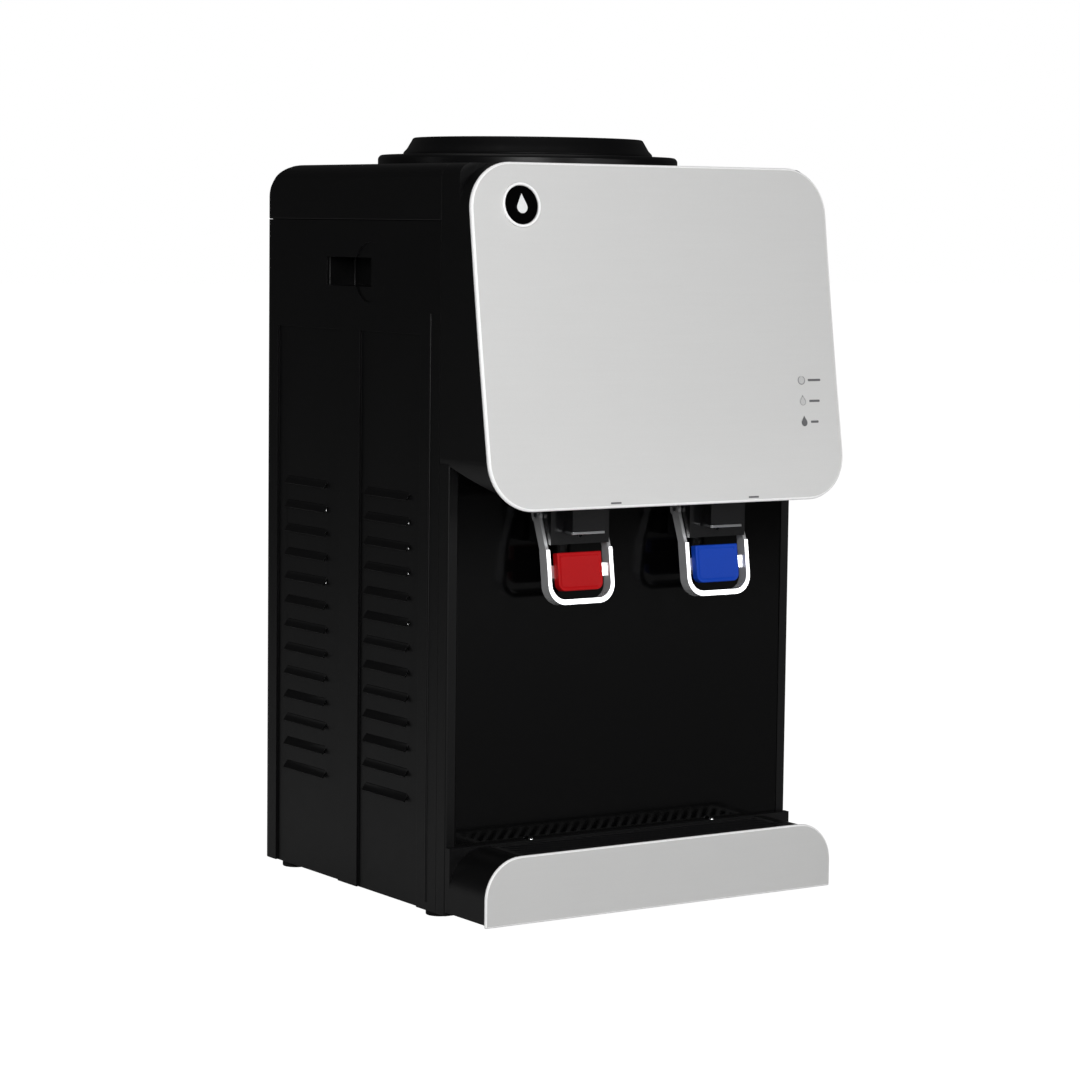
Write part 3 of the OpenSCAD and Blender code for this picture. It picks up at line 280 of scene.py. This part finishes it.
def metalFinish(name):
    colour, roughness, stretch, depth, metallic = metalFinishes[name]
    board = Board(name)
    drawn = board.noise(900, 3, stretch)
    stain = board.noise(30, 5)
    spots = clamp(board, stain * 2.2 - 1.1, 0, 1)
    board.set(
        Base_Color=board.blend(spots, shade(colour, 1.0), shade(colour, 0.8)),
        Metallic=metallic,
        Roughness=clamp(board, roughness - 0.03 + 0.05 * drawn + 0.08 * spots, 0.02, 1),
        Normal=board.bump(drawn, depth / 1000, 0.5),
    )
    return board.material


silver = {
    "colour": (0.63, 0.63, 0.625),
    "flake": 0.35,        # mm
    "roughness": 0.42,
    "metallic": 0.25,
    "peel": 0.00001,      # how deep the paint's own waviness is
    "coat": 0.25,
    "coatRoughness": 0.12,
}


def silverPaint():
    board = Board("silverPaint")
    colour = silver["colour"]
    flake = board.node(
        "ShaderNodeTexVoronoi", {}, {"Vector": board.place, "Scale": 1000 / silver["flake"]}
    )
    brushed = board.noise(420, 4, (0.05, 1, 1))
    clouds = board.noise(7, 3)
    sparkle = clamp(board, 0.5 * flake + 0.3 * brushed + 0.2 * clouds, 0, 1)
    orangePeel = board.noise(380, 2)
    board.set(
        Base_Color=board.blend(sparkle, shade(colour, 0.94), shade(colour, 1.06)),
        Metallic=silver["metallic"],
        Roughness=clamp(board, silver["roughness"] - 0.04 + 0.1 * brushed, 0.1, 1),
        Normal=board.bump(orangePeel, silver["peel"], 0.5),
        Coat_Weight=silver["coat"],
        Coat_Roughness=silver["coatRoughness"],
    )
    return board.material


blackEnamel = {
    "clean": (0.010, 0.010, 0.011, 1),
    "dusty": (0.035, 0.034, 0.032, 1),
    "roughness": 0.38,
    "peel": 0.00003,
}


def enamel():
    board = Board("blackEnamel")
    peel = board.noise(260, 3)
    dust = board.noise(45, 6)
    dusty = clamp(board, dust * 3 - 1.7, 0, 1)
    board.set(
        Base_Color=board.blend(dusty, blackEnamel["clean"], blackEnamel["dusty"]),
        Roughness=clamp(board, blackEnamel["roughness"] + 0.25 * dusty, 0, 1),
        Normal=board.bump(peel, blackEnamel["peel"], 0.6),
    )
    return board.material


foam = {
    "old": (0.62, 0.54, 0.30, 1),
    "fresh": (0.78, 0.72, 0.48, 1),
    "cells": 420,         # to the metre
    "cellDepth": 0.0004,
    "roughness": 0.85,
}


def mouldedFoam():
    board = Board("mouldedFoam")
    cells = board.node(
        "ShaderNodeTexVoronoi", {}, {"Vector": board.place, "Scale": foam["cells"]}
    )
    tint = board.noise(18, 4)
    board.set(
        Base_Color=board.blend(tint, foam["old"], foam["fresh"]),
        Roughness=foam["roughness"],
        Normal=board.bump(cells, foam["cellDepth"], 0.7),
    )
    return board.material


finish = {name: mouldedFinish(name) for name in mouldedFinishes}
finish.update({name: metalFinish(name) for name in metalFinishes})
finish["silverPaint"] = silverPaint()
finish["blackEnamel"] = enamel()
finish["mouldedFoam"] = mouldedFoam()
print("finishes made:", len(finish))

# modelling helpers


def startAlone(obj=None):
    if bpy.context.object and bpy.context.object.mode != "OBJECT":
        bpy.ops.object.mode_set(mode="OBJECT")
    bpy.ops.object.select_all(action="DESELECT")
    if obj is not None:
        obj.select_set(True)
        bpy.context.view_layer.objects.active = obj


def editing(obj, choose=None, part="FACE"):  # edit mode, only the chosen ones selected
    startAlone(obj)
    bpy.ops.object.mode_set(mode="EDIT")
    bpy.ops.mesh.select_mode(type=part)
    bpy.ops.mesh.select_all(action="DESELECT")
    if choose is None:
        return
    mesh = bmesh.from_edit_mesh(obj.data)
    group = {"FACE": mesh.faces, "EDGE": mesh.edges, "VERT": mesh.verts}[part]
    for item in group:
        if choose(item):
            item.select = True
    mesh.select_flush_mode()
    bmesh.update_edit_mesh(obj.data)


def doneEditing():
    bpy.ops.object.mode_set(mode="OBJECT")


def freshBlock(name, low, high):
    startAlone()
    middle = [(a + b) / 2 for a, b in zip(low, high)]
    bpy.ops.mesh.primitive_cube_add(size=1, location=middle)
    obj = bpy.context.object
    obj.name = name
    obj.scale = [b - a for a, b in zip(low, high)]
    bpy.ops.object.transform_apply(location=True, rotation=True, scale=True)
    return obj


def middleOf(edge):
    return (edge.verts[0].co + edge.verts[1].co) / 2


def along(edge, axis):
    step = edge.verts[1].co - edge.verts[0].co
    return abs(step[axis]) > 0.9 * step.length


def roundEdges(obj, choose, radius, steps):
    editing(obj, choose, "EDGE")
    bpy.ops.mesh.bevel(offset=radius, segments=steps, profile=0.5, affect="EDGES")
    doneEditing()


def easeEdges(obj, width, steps=2, angle=35):
    startAlone(obj)
    bpy.ops.object.shade_smooth_by_angle(angle=radians(angle))
    ease = obj.modifiers.new("ease", "BEVEL")
    ease.width = width
    ease.segments = steps
    ease.limit_method = "ANGLE"
    ease.angle_limit = radians(angle)
    ease.harden_normals = True
    ease.use_clamp_overlap = True
    bpy.ops.object.modifier_apply(modifier=ease.name)
    level = obj.modifiers.new("level", "WEIGHTED_NORMAL")
    level.keep_sharp = True
    level.weight = 90
    bpy.ops.object.modifier_apply(modifier=level.name)


def placed(obj, matrix):
    startAlone(obj)
    obj.matrix_world = matrix @ obj.matrix_world
    bpy.ops.object.transform_apply(location=True, rotation=True, scale=True)


def finished(obj, finishName, body, stoodFor=()):
    obj.data.materials.clear()
    obj.data.materials.append(finish[finishName])
    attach(obj, body)
    if stoodFor:
        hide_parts(*stoodFor)


def smoothed(obj, angle=35):
    startAlone(obj)
    bpy.ops.object.shade_smooth_by_angle(angle=radians(angle))


def copyOf(node, name):
    source = nodes[node]
    obj = bpy.data.objects.new(name, source.data.copy())
    bpy.context.scene.collection.objects.link(obj)
    obj.matrix_world = source.matrix_world.copy()
    return obj


def easedCopy(node, name, width, finishName, body):
    obj = copyOf(node, name)
    editing(obj)
    bpy.ops.mesh.select_all(action="SELECT")
    bpy.ops.mesh.remove_doubles(threshold=0.000004)
    bpy.ops.mesh.dissolve_limited(angle_limit=radians(0.2))
    doneEditing()
    startAlone(obj)
    bpy.ops.object.transform_apply(location=True, rotation=True, scale=True)
    easeEdges(obj, width)
    finished(obj, finishName, body, [node])


setUpCamera()
setUpStudio()
print("camera and studio ready")

# floor


def layFloor():
    startAlone()
    bpy.ops.mesh.primitive_plane_add(size=studio["floorWide"], location=(0, 0, -0.0002))
    floor = bpy.context.object
    floor.name = "floor"
    board = Board("paleFloor")
    grain = board.noise(3, 2)
    board.set(
        Base_Color=board.blend(grain, studio["floorColour"], shade(studio["floorColour"], 0.99)),
        Roughness=0.9,
        Specular_IOR_Level=0.1,
    )
    # the camera sees it nearly white, so that it runs into the backdrop
    glow = board.node(
        "ShaderNodeEmission", {}, {"Color": (1, 1, 1, 1), "Strength": studio["floorGlow"]}
    )
    seen = board.node("ShaderNodeLightPath", {}, {})
    mix = board.node("ShaderNodeMixShader", {}, {
        0: seen * (1 - studio["floorShade"]), 1: board.shader.outputs[0], 2: glow,
    })
    out = board.tree.get_output_node("ALL")
    board.feed(out.inputs["Surface"], mix)
    floor.data.materials.append(board.material)


layFloor()

# fascia

fasciaPlate = {
    "thickness": 0.004,
    "cornerRadius": 0.034,
    "bow": 0.00145,       # how deep the face is hollowed at mid height
    "flats": 12,          # level strips in each half of the hollow
    "edge": 0.0017,
    "cornerSteps": 14,
}
fasciaLow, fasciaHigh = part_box("fascia_panel")
# a first lean from the plate's box, good enough to take its thickness off the corners
boxLean = atan(
    (fasciaHigh[1] - fasciaLow[1] - fasciaPlate["thickness"])
    / (fasciaHigh[2] - fasciaLow[2])
)
fasciaTop = fasciaHigh[2]
fasciaBottom = fasciaLow[2] + fasciaPlate["thickness"] * sin(boxLean)
fasciaTopY = fasciaHigh[1] - fasciaPlate["thickness"] * cos(boxLean)
fasciaSlope = (fasciaTopY - fasciaLow[1]) / (fasciaTop - fasciaBottom)
fasciaLean = atan(fasciaSlope)
fasciaChord = (fasciaTop - fasciaBottom) / cos(fasciaLean)


def paintEdgeHighlight(obj, choose):  # the chosen faces get a near-white colour: a painted highlight along the bevelled edge
    obj.data.materials.append(finish["whiteRingAndPaintedEdgeHighlight"])
    editing(obj, choose)
    obj.active_material_index = 1
    bpy.ops.object.material_slot_assign()
    doneEditing()


def onFascia(x, height, lift=0.0):  # on the flat face: X across, Y up it, Z out of it
    y = fasciaTopY - (fasciaTop - height) * fasciaSlope
    stand = Matrix.Rotation(pi / 2 - fasciaLean, 4, "X")
    return Matrix.Translation((x, y, height)) @ stand @ Matrix.Translation((0, 0, lift))


def fasciaHollow(up):  # depth behind the flat face, by the distance above its middle
    return fasciaPlate["bow"] * (1 - (2 * up / fasciaChord) ** 2)


def makeFascia():
    halfWidth = (fasciaHigh[0] - fasciaLow[0]) / 2
    halfChord = fasciaChord / 2
    thick = fasciaPlate["thickness"]
    plate = freshBlock("fasciaPlate", (-halfWidth, -halfChord, -thick), (halfWidth, halfChord, 0))
    roundEdges(
        plate, lambda edge: along(edge, 2), fasciaPlate["cornerRadius"], fasciaPlate["cornerSteps"]
    )
    easeEdges(plate, fasciaPlate["edge"], 3, 60)
    # slice it into level strips, then push each level back to the hollow
    count = fasciaPlate["flats"] * 2
    for step in range(1, count):
        editing(plate)
        bpy.ops.mesh.select_all(action="SELECT")
        level = -halfChord + step * fasciaChord / count
        bpy.ops.mesh.bisect(plane_co=(0, level, 0), plane_no=(0, 1, 0))
        doneEditing()
    levels = sorted({round(corner.co.y, 6) for corner in plate.data.vertices})
    for level in levels:
        editing(plate, lambda corner: abs(corner.co.y - level) < 0.0000008, "VERT")
        bpy.ops.transform.translate(value=(0, 0, -fasciaHollow(level)))
        doneEditing()
    smoothed(plate)
    finished(plate, "silverPaint", "cabinet", ["fascia_panel"])
    # painted highlight: the bevel faces round the plate get the near-white colour
    paintEdgeHighlight(plate, lambda face: -0.999 < face.normal.z < 0.985)
    placed(plate, onFascia(0, (fasciaTop + fasciaBottom) / 2))


makeFascia()
print("fascia made")

# skirt and splash

skirtPlate = {"cornerRadius": 0.029, "edge": 0.0012, "cornerSteps": 12}
splashPlate = {"edge": 0.0008}


def makeSkirt():
    low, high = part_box("skirt_panel")
    skirt = freshBlock("skirtPlate", low, high)
    roundEdges(
        skirt,
        lambda edge: along(edge, 1) and middleOf(edge).z > high[2] - 0.001,
        skirtPlate["cornerRadius"],
        skirtPlate["cornerSteps"],
    )
    easeEdges(skirt, skirtPlate["edge"], 3, 60)
    finished(skirt, "silverPaint", "cabinet", ["skirt_panel"])
    # painted highlight: the bevel faces on the skirt's rim get the near-white colour
    paintEdgeHighlight(skirt, lambda face: -0.98 < face.normal.y < 0.999 and face.normal.z > -0.5)


def makeSplash():
    low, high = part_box("splash_panel")
    splash = freshBlock("splashPlate", low, high)
    easeEdges(splash, splashPlate["edge"], 3)
    finished(splash, "glossBlack", "cabinet", ["splash_panel"])


makeSkirt()
makeSplash()
print("skirt and splash made")

# moulded shells

easedPieces = [
    # node, name, edge in metres, finish, body, slot
    ("front_frame", "headAndColumns", 0.0014, "satinBlack", "cabinet", "black_plastic"),
    ("top_cover", "topCover", 0.0010, "satinBlack", "cabinet", "black_plastic"),
    ("tray_housing", "trayHousing", 0.0010, "satinBlack", "cabinet", "black_plastic"),
    ("left_side_panel", "leftSide", 0.0004, "sideBlack", "cabinet", "black_side"),
    ("right_side_panel", "rightSide", 0.0004, "sideBlack", "cabinet", "black_side"),
    ("left_grip_cup", "leftGripCup", 0.0008, "satinBlack", "cabinet", "black_plastic"),
    ("right_grip_cup", "rightGripCup", 0.0008, "satinBlack", "cabinet", "black_plastic"),
    ("bottle_collar", "bottleCollar", 0.0007, "satinBlack", "collar_body", "black_plastic"),
    ("drip_basin", "dripBasin", 0.0006, "satinBlack", "basin_body", "black_plastic"),
    ("drip_grille", "dripGrille", 0.0004, "tapBlack", "grille_body", "black_plastic"),
    ("hot_tap_body", "hotTapBody", 0.0009, "tapBlack", "cabinet", "black_plastic"),
    ("cold_tap_body", "coldTapBody", 0.0009, "tapBlack", "cabinet", "black_plastic"),
    ("hot_lever", "hotLeverFrame", 0.0006, "leverChrome", "hot_lever_body", "chrome"),
    ("cold_lever", "coldLeverFrame", 0.0006, "leverChrome", "cold_lever_body", "chrome"),
    ("badge_ring", "badgeRing", 0.0005, "whiteRingAndPaintedEdgeHighlight", "cabinet", "chrome"),
    ("drain_cap", "drainCap", 0.0004, "satinBlack", "cap_body", "black_plastic"),
    ("switch_housing", "switchHousing", 0.0006, "satinBlack", "cabinet", "black_plastic"),
    ("cooling_switch", "coolingRocker", 0.0005, "switchGreen", "cooling_rocker", "green_plastic"),
    ("heating_switch", "heatingRocker", 0.0005, "padRed", "heating_rocker", "red_plastic"),
    ("cord_gland", "cordGland", 0.0005, "satinBlack", "cabinet", "black_plastic"),
    ("rear_panel", "rearPanel", 0.0003, "blackEnamel", "cabinet", "black_steel"),
]

for node, name, edge, finishName, body, slot in easedPieces:
    easedCopy(node, name, edge, finishName, body)
print("moulded pieces eased:", len(easedPieces))

# lip behind the cover's seam

coverLip = {
    "down": 0.006,
    "up": 0.003,
    "thickness": 0.0012,
    "setIn": 0.0025,      # from the cover's sides and back
    "frontIn": 0.0005,
    "corner": 0.0075,
}


def makeCoverLip():
    low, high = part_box("top_cover")
    inset = coverLip["setIn"]
    lip = freshBlock(
        "coverLip",
        (low[0] + inset, low[1] + coverLip["frontIn"], low[2] - coverLip["down"]),
        (high[0] - inset, high[1] - inset, low[2] + coverLip["up"]),
    )
    back = high[1] - inset - 0.0001
    roundEdges(
        lip, lambda edge: along(edge, 2) and middleOf(edge).y > back, coverLip["corner"], 6
    )
    # leave only the two sides and the back, then give them a thickness
    editing(lip, lambda face: abs(face.normal.z) > 0.9 or face.normal.y < -0.9)
    bpy.ops.mesh.delete(type="FACE")
    doneEditing()
    startAlone(lip)
    wall = lip.modifiers.new("wall", "SOLIDIFY")
    wall.thickness = coverLip["thickness"]
    bpy.ops.object.modifier_apply(modifier=wall.name)
    smoothed(lip)
    finished(lip, "satinBlack", "cabinet")


makeCoverLip()
print("cover lip made")

# feet

foot = {
    "radius": 0.010,
    "height": 0.0052,
    "edge": 0.0008,
    "sides": 48,
    "ringIn": 0.003,      # the ring in the sole, from the foot's side
    "ringWide": 0.0008,
    "ringDeep": 0.0008,
}


def makeFeet():
    low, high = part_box("feet")
    radius = foot["radius"]
    for across in (low[0] + radius, high[0] - radius):
        for deep in (low[1] + radius, high[1] - radius):
            startAlone()
            bpy.ops.mesh.primitive_cylinder_add(
                vertices=foot["sides"], radius=radius, depth=foot["height"],
                location=(across, deep, foot["height"] / 2),
            )
            obj = bpy.context.object
            obj.name = "foot%s%s" % ("L" if across < 0 else "R", "F" if deep < 0 else "B")
            bpy.ops.object.transform_apply(location=True, rotation=True, scale=True)
            # a shallow ring in the sole
            editing(obj, lambda face: face.normal.z < -0.9)
            bpy.ops.mesh.inset(thickness=foot["ringIn"], depth=0)
            bpy.ops.mesh.inset(thickness=foot["ringWide"], depth=-foot["ringDeep"])
            doneEditing()
            easeEdges(obj, foot["edge"], 3)
            finished(obj, "footRubber", "cabinet", ["feet"])


makeFeet()
print("feet made")

# lever pads

leverPad = {
    "thickness": 0.0062,
    "lean": 8,            # degrees
    "cornerRadius": 0.0055,
    "rim": 0.0024,
    "sink": 0.0007,
    "sinkWall": 0.0007,
    "edge": 0.0008,
}


def makePad(node, name, finishName, body):
    low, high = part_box(node)
    lean = radians(leverPad["lean"])
    thick = leverPad["thickness"]
    # the pad is drawn upright round its own middle, then leaned
    tall = (high[2] - low[2] - thick * sin(lean)) / cos(lean)
    wide = high[0] - low[0]
    pad = freshBlock(name, (-wide / 2, -thick / 2, -tall / 2), (wide / 2, thick / 2, tall / 2))
    roundEdges(
        pad, lambda edge: along(edge, 1) and middleOf(edge).z < 0, leverPad["cornerRadius"], 8
    )
    editing(pad, lambda face: face.normal.y < -0.9)
    bpy.ops.mesh.inset(thickness=leverPad["rim"], depth=0)
    bpy.ops.mesh.inset(thickness=leverPad["sinkWall"], depth=-leverPad["sink"])
    doneEditing()
    easeEdges(pad, leverPad["edge"], 3, 50)
    middle = [(a + b) / 2 for a, b in zip(low, high)]
    placed(pad, Matrix.Translation(middle) @ Matrix.Rotation(-lean, 4, "X"))
    finished(pad, finishName, body, [node])


makePad("hot_pad", "hotPad", "padRed", "hot_lever_body")
makePad("cold_pad", "coldPad", "padBlue", "cold_lever_body")
print("pads made")

# trim

badgeDisc = {"edge": 0.0003}


def makeBadge():
    easedCopy(
        "badge_disc", "badgeDisc", badgeDisc["edge"], "glossBlack", "cabinet"
    )


dropSides = 32


def dropShape(name, radius, point, thickness):  # a disc with its top pulled up to a point
    startAlone()
    bpy.ops.mesh.primitive_circle_add(vertices=dropSides, radius=radius, fill_type="NGON")
    obj = bpy.context.object
    obj.name = name
    # pull the upper corners up onto the two straight sides of the point
    reach = sqrt(point * point - radius * radius) / radius
    for step in range(6):
        turn = radians(360 / dropSides * step)
        if radius * cos(turn) < radius * radius / point:
            break
        level = radius * cos(turn)
        editing(obj, lambda corner: abs(corner.co.y - level) < radius * 0.008, "VERT")
        bpy.ops.transform.translate(value=(0, point - reach * radius * sin(turn) - level, 0))
        doneEditing()
    editing(obj, lambda face: True)
    bpy.ops.mesh.extrude_region_move(TRANSFORM_OT_translate={"value": (0, 0, thickness)})
    bpy.ops.mesh.select_all(action="SELECT")
    bpy.ops.mesh.normals_make_consistent(inside=False)
    doneEditing()
    return obj


badgeDrop = {
    "radius": 0.0042,
    "point": 0.0095,      # from the disc's middle to the tip
    "thickness": 0.0005,
    "edge": 0.00015,
    "down": 0.0016,
    "lift": 0.0006,
}


def makeBadgeDrop():
    low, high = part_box("badge_disc")
    across = (low[0] + high[0]) / 2
    height = (low[2] + high[2]) / 2
    drop = dropShape("badgeDrop", badgeDrop["radius"], badgeDrop["point"], badgeDrop["thickness"])
    easeEdges(drop, badgeDrop["edge"])
    shift = Matrix.Translation((0, -badgeDrop["down"], badgeDrop["lift"]))
    placed(drop, onFascia(across, height) @ shift)
    finished(drop, "printWhite", "cabinet")


marks = {
    "lift": 0.00012,      # how far a printed bar stands off the face
    "barThickness": 0.0004,
    "barCorner": 0.35,    # share of the bar's height
    "labels": [0.0115, 0.0095, 0.0070],
    "labelTall": 0.0017,
    "labelAt": 0.0060,
    "iconLift": 0.00028,
    "ring": 0.0029,
    "ringWire": 0.00035,
    "ringGap": 0.9,       # the share of the radius above which it is open
    "lens": 0.0029,
    "lensSunk": 0.001,
    "guide": 0.0018,
    "guideLong": 0.014,
    "iconRadius": 0.0025,
    "iconPoint": 0.0050,
    "iconThickness": 0.0003,
    "iconLine": 0.0005,
    "iconSunk": 0.00025,
    "iconDown": 0.0006,
    "iconSetIn": 0.0002,
    "tapBar": (0.0090, 0.0013),
    "tapBarAt": (0.0085, 0.0034),  # right of the tap, above the fascia's foot
}


def faceLift(height):
    up = (height - (fasciaTop + fasciaBottom) / 2) / cos(fasciaLean)
    return -fasciaHollow(up)


def printedBar(name, x, height, wide, tall):
    deep = marks["barThickness"]
    bar = freshBlock(name, (-wide / 2, -tall / 2, -deep), (wide / 2, tall / 2, 0))
    roundEdges(bar, lambda edge: along(edge, 2), tall * marks["barCorner"], 3)
    placed(bar, onFascia(x, height, faceLift(height) + marks["lift"]))
    finished(bar, "printGrey", "cabinet")


def powerMark(across, height, lift):
    startAlone()
    bpy.ops.mesh.primitive_torus_add(
        major_segments=36, minor_segments=8,
        major_radius=marks["ring"], minor_radius=marks["ringWire"],
    )
    ring = bpy.context.object
    ring.name = "powerMark"
    # open the ring at its top and close its two ends
    top = marks["ringGap"] * marks["ring"]
    editing(ring, lambda face: face.calc_center_median().y > top)
    bpy.ops.mesh.delete(type="FACE")
    doneEditing()
    editing(ring, lambda edge: edge.is_boundary, "EDGE")
    bpy.ops.mesh.edge_face_add()
    doneEditing()
    smoothed(ring, 40)
    placed(ring, onFascia(across, height, lift))
    finished(ring, "iconGrey", "cabinet")


def dropMark(name, finishName, across, height, lift):
    shape = dropShape(name, marks["iconRadius"], marks["iconPoint"], marks["iconThickness"])
    editing(shape, lambda face: face.normal.z > 0.9)
    bpy.ops.mesh.inset(thickness=marks["iconLine"], depth=-marks["iconSunk"])
    doneEditing()
    placed(shape, onFascia(across, height - marks["iconDown"], lift - marks["iconSetIn"]))
    finished(shape, finishName, "cabinet")


def makeMarks():
    low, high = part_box("indicator_lenses")
    across = (low[0] + high[0]) / 2
    # the three lenses stand in a column, each leaning with the fascia on its light guide
    bottom = low[2] + marks["guideLong"] * sin(fasciaLean) + marks["guide"] * cos(fasciaLean)
    top = high[2] - marks["lens"] * cos(fasciaLean) + marks["lensSunk"] * sin(fasciaLean)
    pitch = (top - bottom) / 2
    for index in range(3):
        height = bottom + index * pitch
        lift = faceLift(height) + marks["iconLift"]
        label = marks["labels"][2 - index]
        start = across + marks["labelAt"]
        printedBar("label%d" % index, start + label / 2, height, label, marks["labelTall"])
        if index == 0:
            dropMark("flameMark", "printGrey", across, height, lift)
        elif index == 1:
            dropMark("waterMark", "iconGrey", across, height, lift)
        else:
            powerMark(across, height, lift)
    # a short bar over each tap
    wide, tall = marks["tapBar"]
    right, up = marks["tapBarAt"]
    for name, node in (("hotMark", "hot_tap_body"), ("coldMark", "cold_tap_body")):
        tapLow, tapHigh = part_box(node)
        middle = (tapLow[0] + tapHigh[0]) / 2
        printedBar(name, middle + right, fasciaBottom + up, wide, tall)


rimScrew = {
    "across": 0.080,      # from the middle
    "radius": 0.0021,
    "cutAt": 0.0004,      # above the ball's middle
    "setBack": 0.0028,
    "sunk": 0.0005,
}


def makeRimScrews():
    low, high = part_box("tray_housing")
    for side in (-1, 1):
        startAlone()
        bpy.ops.mesh.primitive_uv_sphere_add(
            segments=24, ring_count=12, radius=rimScrew["radius"]
        )
        screw = bpy.context.object
        screw.name = "rimScrew%s" % ("L" if side < 0 else "R")
        editing(screw)
        bpy.ops.mesh.select_all(action="SELECT")
        bpy.ops.mesh.bisect(
            plane_co=(0, 0, rimScrew["cutAt"]), plane_no=(0, 0, 1),
            clear_inner=True, use_fill=True,
        )
        doneEditing()
        smoothed(screw, 40)
        spot = (
            side * rimScrew["across"],
            high[1] - rimScrew["setBack"],
            high[2] - rimScrew["sunk"],
        )
        placed(screw, Matrix.Translation(spot))
        finished(screw, "polishedChrome", "cabinet")


spoutTrim = {
    "boxWide": 0.0275,    # the tap's spout box, which the trim goes round
    "boxUp": 0.008,       # its underside, above the tap's lowest point
    "stand": 0.0003,      # off the box
    "deep": 0.009,
    "below": 0.0004,
    "above": 0.0016,
    "corner": 0.0014,
    "rim": 0.0022,
    "sink": 0.0003,
    "edge": 0.0003,
}


def makeSpoutTrims():
    half = spoutTrim["boxWide"] / 2 + spoutTrim["stand"]
    for node, name in (("hot_tap_body", "hotSpoutTrim"), ("cold_tap_body", "coldSpoutTrim")):
        low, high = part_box(node)
        middle = (low[0] + high[0]) / 2
        under = low[2] + spoutTrim["boxUp"]
        trim = freshBlock(
            name,
            (middle - half, low[1] - spoutTrim["stand"], under - spoutTrim["below"]),
            (middle + half, low[1] + spoutTrim["deep"], under + spoutTrim["above"]),
        )
        front = low[1] + 0.001
        roundEdges(
            trim, lambda edge: along(edge, 2) and middleOf(edge).y < front,
            spoutTrim["corner"], 4,
        )
        # open where the water comes out
        editing(trim, lambda face: face.normal.z < -0.9)
        bpy.ops.mesh.inset(thickness=spoutTrim["rim"], depth=-spoutTrim["sink"])
        doneEditing()
        easeEdges(trim, spoutTrim["edge"])
        finished(trim, "polishedChrome", "cabinet")


makeBadge()
makeBadgeDrop()
makeMarks()
makeRimScrews()
makeSpoutTrims()
print("badge, marks and trims made")

# the valve springs, each on a mesh of its own; they shorten as the stems come down on them, which
# is not done here


def makeSpring(node, name):
    spring = copyOf(node, name)
    startAlone(spring)
    bpy.ops.object.transform_apply(location=True, rotation=True, scale=True)
    smoothed(spring)
    finished(spring, "brightZinc", "cabinet", [node])
    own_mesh(spring)


makeSpring("hot_valve_spring", "hotValveSpring")
makeSpring("cold_valve_spring", "coldValveSpring")
print("springs made")

# the rest keep their CAD shape

keptFinishes = {
    "blackEnamel": ["base_pan", "compressor", "condenser_tube", "condenser_wires"],
    "footRubber": ["compressor_grommets"],
    "lensGrey": ["indicator_lenses"],
    "circuitGreen": ["indicator_board"],
    "brightZinc": ["hot_pivot_pin", "cold_pivot_pin", "panel_screws", "tank_shelf"],
    "milkWhite": ["hot_valve_stem", "cold_valve_stem", "tap_nuts", "feed_spike", "tank_baffle",
                  "drain_spout"],
    "softSilicone": ["collar_seal", "feed_hose", "hot_hose", "cold_hose", "drain_hose"],
    "drawnStainless": ["cold_tank", "hot_tank"],
    "mouldedFoam": ["cold_tank_foam"],
    "drawnCopper": ["evaporator_coil", "refrigerant_tubes", "filter_drier"],
    "heaterSleeve": ["heater_band"],
    "bakelite": ["thermostats"],
}

for finishName, names in keptFinishes.items():
    for name in names:
        piece = nodes[name]
        piece.data.materials.clear()
        piece.data.materials.append(finish[finishName])
        smoothed(piece)
print("inner pieces finished")

startAlone()
